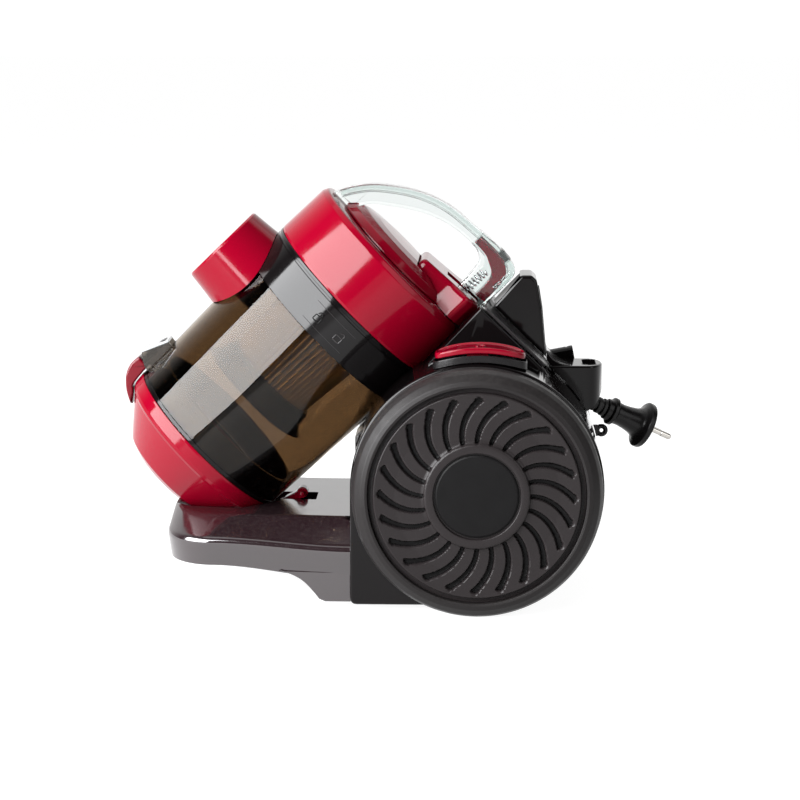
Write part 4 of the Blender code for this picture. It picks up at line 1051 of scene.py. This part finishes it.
def make_flap():
    """Bottom flap with its rim, hinge arm and seal, and the hinge's bracket on the container."""
    shell = [(0, -42), (33, -41.5, 4), (44, -33.5, 4), (64, -12.5, 4), (66.8, -3), (66.8, -0.3, 0.3),
             (wall(0) + 0.6, -0.3, 0.4), (71.2, -2, 0.6), (70.4, -9.5, 1.2), (69, -12.2, 0.8),
             (66.8, -14, 1.5), (48, -35.5, 3), (43, -41, 5), (34, -44.8, 3),
             (20, -45.2, 1), (18.6, -44.6, 0.6), (0, -44.6)]
    y, z = HINGE_Y, HINGE_Z
    hinge = BIN @ AT((0, y * MM, z * MM)) @ TURN_X
    arm = fillet([(66, -11.5), (70, -10.5, 2), (y + 2.6, 18, 6), (y + 3.4, z, 3), (y + 1, z + 3.2, 2),
                  (y - 3, z + 2, 2), (y - 4, 18, 5), (71.5, -1, 3), (68, -1.5)], 4)
    knuckle = fillet([(0, 10.5), (1.55, 10.5, 0.3), (1.55, 5), (4.3, 5, 0.5), (4.3, -5, 0.5),
                      (1.55, -5), (1.55, -10.5, 0.3), (0, -10.5)], 2)
    turned("flap_shell", fillet(shell, 5), RED, "flap", ["bin_flap"], BIN, 200, False,
           added=[bar_tool(arm, 5, BIN, 0.8, 3), tool(turned_bm(knuckle, 40, False), hinge)])
    seal = [(65.4, -1.6), (66.6, -1.6), (66.6, -0.35, 0.3), (65.4, -0.35, 0.3)]
    turned("flap_seal", fillet(seal, 3), RUBBER, "flap", (), BIN, 160)
    ear = [(74.4, z - 3.6, 1.5), (y + 3, z - 3.6, 3.2), (y + 3, z + 8, 1), (74.4, z + 8, 0.5)]
    build("hinge_bracket", box_bm((-12, 74, z + 4.4), (12, y + 3, z + 9), 0.8), BLACK, "container",
          ["flap_hinge"], BIN,
          added=[bar_tool(fillet(ear, 5), (side * 5.6, side * 11), BIN, 0.5, 3) for side in (-1, 1)],
          removed=[drill(1.7, 20, -20, hinge, 32)])


LATCH_OUT = [(6.5, 82.6), (1, 83.2), (-4, 82.6), (-10, 79.8), (-15, 75.4), (-19.5, 69.8),
             (-23.6, 62)]
LATCH_IN = [(-23, 60.2), (-18, 64.3), (-14.4, 67.5), (-12.6, 69.9), (-8, 71.2), (0, 72),
            (6.5, 72.6)]


def make_latch():
    """Front latch: red finger lobe on a dark arm, between smoked cheeks under a bright cap."""
    lobe = fillet(in_bin(smooth(LATCH_OUT, 6) + smooth(LATCH_IN, 6)))
    bar("latch_lever", lobe, 10.2, DEEP, "latch", ["flap_latch"], BIN, 1.6, 5)
    arm = fillet([(4, 75, 0.8), (4, 80.4, 1), (12, 80, 3), (22.5, 80.2, 3), (30, 78.2, 1),
                  (30, 75.6, 0.8)], 4)
    bar("latch_arm", in_bin(arm), 7, SATIN, "latch", (), BIN, 0.7, 3)
    pin = fillet([(0, 10.5), (1.1, 10.5, 0.3), (1.1, -10.5, 0.3), (0, -10.5)], 2)
    turned("latch_pin", pin, STEEL, "latch", (), BIN @ AT((0, -0.078, 0.0225)) @ TURN_X,
           32, False)
    cheek = [(31.5, 70.6, 0.5), (32, 76, 2), (12, 84.6, 2.5), (8.5, 80, 1.5), (5.5, 75.5, 3),
             (4, 69.8, 0.5)]
    for side in (-1, 1):
        bar(f"latch_cheek_{tag_of(side)}", in_bin(fillet(cheek, 5)), (side * 10.9, side * 13.4), GLAZE,
            "container", (), BIN, 0.6, 3)
    cap = [(32.4, 76.4, 0.4), (12, 85.2, 1), (11.2, 84.4, 0.4), (11.6, 83.2, 0.4), (31.8, 74.6, 0.4)]
    bar("latch_cap", in_bin(fillet(cap, 4)), 13.8, SILVER, "container", (), BIN, 0.5, 3)


PLEATS = 54
# One pleat's four points: how deep each lies, and how far it is turned, in quarter pleats.
PLEAT_POINTS = [(0, 0), (1.6, -0.2), (9, 0), (1.6, 0.2)]


def make_filter():
    """Finely pleated cartridge with its end ring and skirted shroud."""
    rings = []
    for level, outer in ((69, 37), (90, 38.6), (112, 40.3), (134, 42.1), (153.6, 43.6)):
        ring = []
        for k in range(PLEATS * 4):
            depth, turn = PLEAT_POINTS[k % 4]
            angle = 2 * pi * (k + turn) / (PLEATS * 4)
            ring.append(((outer - depth) * cos(angle), (outer - depth) * sin(angle), level))
        rings.append(ring)
    build("pleated_filter", loft_bm(rings), PAPER, "filter", ["filter_pleats"], BIN, 35)
    skirt = [(0, 68.6), (39.6, 68.6, 0.5), (41, 66, 2), (42, 57.5, 3), (46, 52.6, 2),
             (48.5, 51, 0.4), (47, 50, 0.4), (40, 54, 2), (0, 56)]
    turned("filter_skirt", fillet(skirt, 5), BLACK, "filter", ["filter_shroud"], BIN,
           160, False)
    collar = [(40.5, 151.2), (44.4, 151.2, 0.5), (44.4, 155, 0.5), (40.5, 155)]
    turned("filter_collar", fillet(collar, 3), SATIN, "filter", (), BIN, 140)


# ---------------------------------------------------------------- lid, handle and release

def block_top(y):
    """Height of the rear block's top at a distance behind the container's axis."""
    if y < 60:
        return 220.5 + (y - 13) / 47 * 4.1
    return 224.6 + (y - 60) / 9 * 0.2


def lid_block_bm():
    """Rear block: flared in plan to meet the lid's rim, with a softly rounded top."""
    right = [(30.5, 13.2, 6), (35.2, 42, 16), (44.6, 57, 5.5), (38.4, 64, 8), (28, 69.4, 8)]
    left = [(-x, y, r) for x, y, r in reversed(right)]
    plan = fillet(right + left, 7)
    rings = [[(x, y, GRIP_S) for x, y in plan]]
    for inset, drop in ((0, 4.4), (0.2, 2.9), (0.7, 1.6), (1.5, 0.7), (2.5, 0.15), (3.4, 0)):
        spots = offset(plan, inset) if inset else plan
        rings.append([(x, y, block_top(y) - drop) for x, y in spots])
    middle = 42
    for scale in (0.7, 0.4, 0.1):
        spots = [(x * scale, middle + (y - middle) * scale) for x, y in offset(plan, 3.4)]
        rings.append([(x, y, block_top(y)) for x, y in spots])
    return loft_bm(rings)


def make_lid():
    """Lid shell, domed panel and the block that carries the handle."""
    top = 203
    shell = [(0, top), (66, top, 1), (73.9, top - 0.6, 2.6), (76, top - 5, 3.5),
             (BIN_HIGH, BIN_LENGTH + 2.2, 0.4), (BIN_HIGH - 0.5, BIN_LENGTH + 0.3, 0.4),
             (BIN_HIGH - 3.4, BIN_LENGTH + 0.3), (73, 196, 2), (70, 199.6, 2), (0, 199.6)]
    turned("lid_shell", fillet(shell, 7), RED, "lid_group", ["lid"], BIN, 240, False)
    dome = [(0, 215.3), (30, 214.8, 20), (44, 213.2, 8), (52, 209.5, 4), (56.5, 204.5, 1),
            (56.5, 203.4), (53, 203.4), (48.5, 207.5), (42, 210.5), (0, 212.5)]
    room = tool(box_bm((-36, 12.2, 199), (36, 80, 240), 1), BIN)
    notch = tool(box_bm((-10.6, -70, 199), (10.6, -45.5, 240), 1), BIN)
    turned("lid_dome", fillet(dome, 8), RED, "lid_group", ["lid_panel"], BIN, 200, False,
           removed=[room, notch])
    nest = in_bin([(210.5, -36), (232, -36), (232, -80), (210.5, -80)])
    build("lid_block", lid_block_bm(), RED, "lid_group", ["lid_rear_block"], BIN,
          removed=[bar_tool(nest, 11.2, BIN)])


HANDLE_OUT = [(203.4, 69.5), (219, 61), (233, 49), (250, 26), (260, 1), (263.6, -29), (265.5, -46)]
HANDLE_BEND = [(265.5, -46), (265, -60), (262.5, -68.5), (256, -72.5), (240, -73), (212.5, -73)]
HANDLE_IN = [(212.5, -47.5), (236, -47.5), (249, -43), (252, -29), (249, -8), (240, 13), (222, 38), (212, 47),
             (203.4, 50)]


def make_handle():
    """Clear arched handle with a raised rail on each side, hollow at its rear leg, and thin darker lines
    along it as painted edge shade.
    """
    outer = smooth(HANDLE_OUT, 8)[:-1] + smooth(HANDLE_BEND, 6)
    cavity = fillet([(200, -50.6), (247, -50.6, 3), (252.2, -46, 3), (253.4, -31.5, 1), (261.8, -31.5, 1),
                     (262.6, -52, 6), (260, -64, 5), (250, -90), (200, -90)], 5)
    room = [(200, 75), (203.9, 75), (203.9, 46), (200, 46)]
    button = [(255, -50.5), (270, -50.5), (270, -61.5), (255, -61.5)]
    spaces = ((cavity, 7.8), (room, 20), (button, 5.2))
    removed = [bar_tool(in_bin(outline), width, BIN) for outline, width in spaces]
    bar("handle_arch", in_bin(outer + smooth(HANDLE_IN, 8)), 8.8, CLEAR, "lid_group", ["carry_handle"],
        BIN, 1.8, 5, sharp=40, removed=removed)
    # Thin darker rods along each side of the handle are painted shade, standing in for the dark refraction
    # lines at its edges.
    spine = outer[3:-6]
    lines = bmesh.new()
    for side in (-1, 1):
        add_bm(lines, sweep_bm([(side * 8.5, -h, along) for along, h in offset_line(spine, 5.6)], 0.34, 8))
    build("handle_painted_shade_lines", lines, CLEAR_SHADE_LINE, "lid_group", (), BIN)
    rail = in_bin(offset_line(spine, 0.5) + list(reversed(offset_line(spine, 4.4))))
    for side in (-1, 1):
        bar(f"handle_rail_{tag_of(side)}", rail, (side * 8.76, side * 9.9), CLEAR, "lid_group",
            (), BIN, 0.5, 2)


def offset_line(points, distance):
    """An open line moved sideways, towards its right-hand side in (s, h)."""
    result = []
    for i, point in enumerate(points):
        before = Vector(points[max(0, i - 1)])
        after = Vector(points[min(len(points) - 1, i + 1)])
        way = (after - before).normalized()
        spot = Vector(point) + Vector((way.y, -way.x)) * distance
        result.append((spot.x, spot.y))
    return result


SPRING_Y = 54.8
SPRING_TURNS = 10.5
SPRING_STEPS = 420


def make_release():
    """Release lever in the handle's rear leg, its button, spring, guide post and nest."""
    outer = [(261.3, -33), (261.8, -42), (261.6, -52), (258.8, -61.8), (250.5, -69), (228, -71)]
    inner = [(226.5, -62), (239.5, -61.6), (247, -58.6), (251.4, -51), (253.8, -44.5), (254.2, -33)]
    bar("release_arm", in_bin(smooth(outer, 8) + smooth(inner, 8)), 6.8, RED, "release",
        ["release_lever"], BIN, 0.8, slot="deep_red")
    button = [(261, -51.4, 0.5), (265.9, -52.6, 1), (264.9, -60.4, 1), (259.2, -60.4, 0.5)]
    bar("release_key", in_bin(fillet(button, 4)), 4.6, SATIN, "release", ["release_button"], BIN, 0.7)
    points = []
    for k in range(SPRING_STEPS + 1):
        t = k / SPRING_STEPS
        angle = 2 * pi * SPRING_TURNS * t
        points.append((3.5 * cos(angle), 54.6 + 3.5 * sin(angle), 212.9 + 31.3 * t))
    spring = build("return_spring", sweep_bm(points, 0.55, 10), STEEL, "lid_group", ["release_spring"], BIN)
    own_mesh(spring)
    post = [(0, 226), (1.7, 226, 0.5), (2, 212.6), (4.6, 211.6, 0.4), (4.6, 210.7), (0, 210.7)]
    turned("spring_post", fillet(post, 3), BURGUNDY, "lid_group", (),
           BIN @ AT((0, SPRING_Y * MM, 0)), 40, False)
    nest = [(210.8, -36.4), (217, -36.4, 2), (219.5, -40, 2), (213, -46, 2), (213, -47),
            (210.8, -47)]
    bar("spring_nest", in_bin(fillet(nest, 3)), 10.6, BURGUNDY, "lid_group", (), BIN, 0.5, 2)


# ---------------------------------------------------------------- parts inside the housing

def dress_inner_nodes():
    """Surfaces of the CAD parts that sit inside the body."""
    looks = {
        INNER: ["cord_reel", "reel_brake", "fan_shroud", "power_switch"],
        STEEL: ["reel_spring_case", "impeller", "motor_can", "motor_shaft"],
        COPPER: ["stator"],
        RUBBER: ["cord_winding", "cord_run"],
        FOAM: ["pre_motor_filter"],
        PAPER: ["exhaust_filter"],
    }
    for mat, names in looks.items():
        for name in names:
            mesh = NODES[name].data
            mesh.materials.clear()
            mesh.materials.append(mat)


# ---------------------------------------------------------------- stage

def area(name, size, place, aim, power, color=(1, 1, 1)):
    """A rectangular soft light that faces a point."""
    light = bpy.data.lights.new(name, "AREA")
    light.shape = "RECTANGLE"
    light.size, light.size_y = size
    light.energy = power
    light.color = color
    item = add_object(name, light)
    item.location = place
    item.rotation_euler = (Vector(aim) - Vector(place)).to_track_quat("-Z", "Y").to_euler()


def make_stage():
    """Pale floor, soft lights, pale surroundings and the camera."""
    floor_mat = bpy.data.materials.new("pale_floor")
    floor_mat.use_nodes = True
    surface = {"Base Color": (0.24, 0.24, 0.24, 1), "Roughness": 0.9, "IOR": 1.05,
               "Emission Color": (1, 1, 1, 1), "Emission Strength": 0.92}
    fill_inputs(floor_mat.node_tree, floor_mat.node_tree.nodes["Principled BSDF"], surface)
    bm = bmesh.new()
    bmesh.ops.create_circle(bm, cap_ends=True, segments=96, radius=14)
    mesh = bpy.data.meshes.new("studio_floor")
    bm.to_mesh(mesh)
    bm.free()
    mesh.materials.append(floor_mat)
    floor = add_object("studio_floor", mesh)
    floor.location = (0, 0, -0.0004)

    world = bpy.data.worlds.new("studio")
    bpy.context.scene.world = world
    world.use_nodes = True
    tree = world.node_tree
    tree.nodes.clear()
    coords = add_node(tree, "TexCoord", "Generated")
    side = ramp(tree, add_node(tree, "SeparateXYZ", "X", Vector=coords), -0.75, -0.20, 1.15, 0.04)
    back = add_node(tree, "Background", "Background", Color=(1, 0.995, 0.99, 1), Strength=side)
    out = tree.nodes.new("ShaderNodeOutputWorld")
    tree.links.new(back, out.inputs["Surface"])

    target = Vector((0, 0, 0.15))
    azimuth = radians(-50)
    reach = 1.25
    key = target + Vector((cos(azimuth) * reach, sin(azimuth) * reach, 0.52))
    area("key_softbox", (1.55, 1.15), key, target, 118, (0.975, 0.985, 1))
    area("top_softbox", (1.2, 1.6), (-0.35, 0.1, 1.5), target, 6)
    area("fill_softbox", (1.6, 1.6), (1.3, 1.7, 1), target, 18)

    camera = bpy.data.cameras.new("camera")
    camera.sensor_width = 36
    camera.lens = 115.07
    camera.clip_end = 60
    item = add_object("camera", camera)
    elevation = radians(9.362)
    turn = radians(-1.837)
    aim = Vector((-0.02064, AXLE.y - 0.06075, 0.13691))
    level = cos(elevation)
    away = Vector((level * cos(turn), -level * sin(turn), sin(elevation)))
    item.location = aim + away * 2
    item.rotation_euler = (-away).to_track_quat("-Z", "Y").to_euler()
    scene = bpy.context.scene
    scene.camera = item
    scene.view_settings.view_transform = "Standard"
    scene.view_settings.look = "None"


make_stage()
make_housing()
make_ridge()
make_tower()
make_tray()
make_castor()
make_wheels()
make_pedals()
make_bracket()
make_fittings()
make_plug()
make_container()
make_padlocks()
make_flap()
make_latch()
make_filter()
make_lid()
make_handle()
make_release()
dress_inner_nodes()
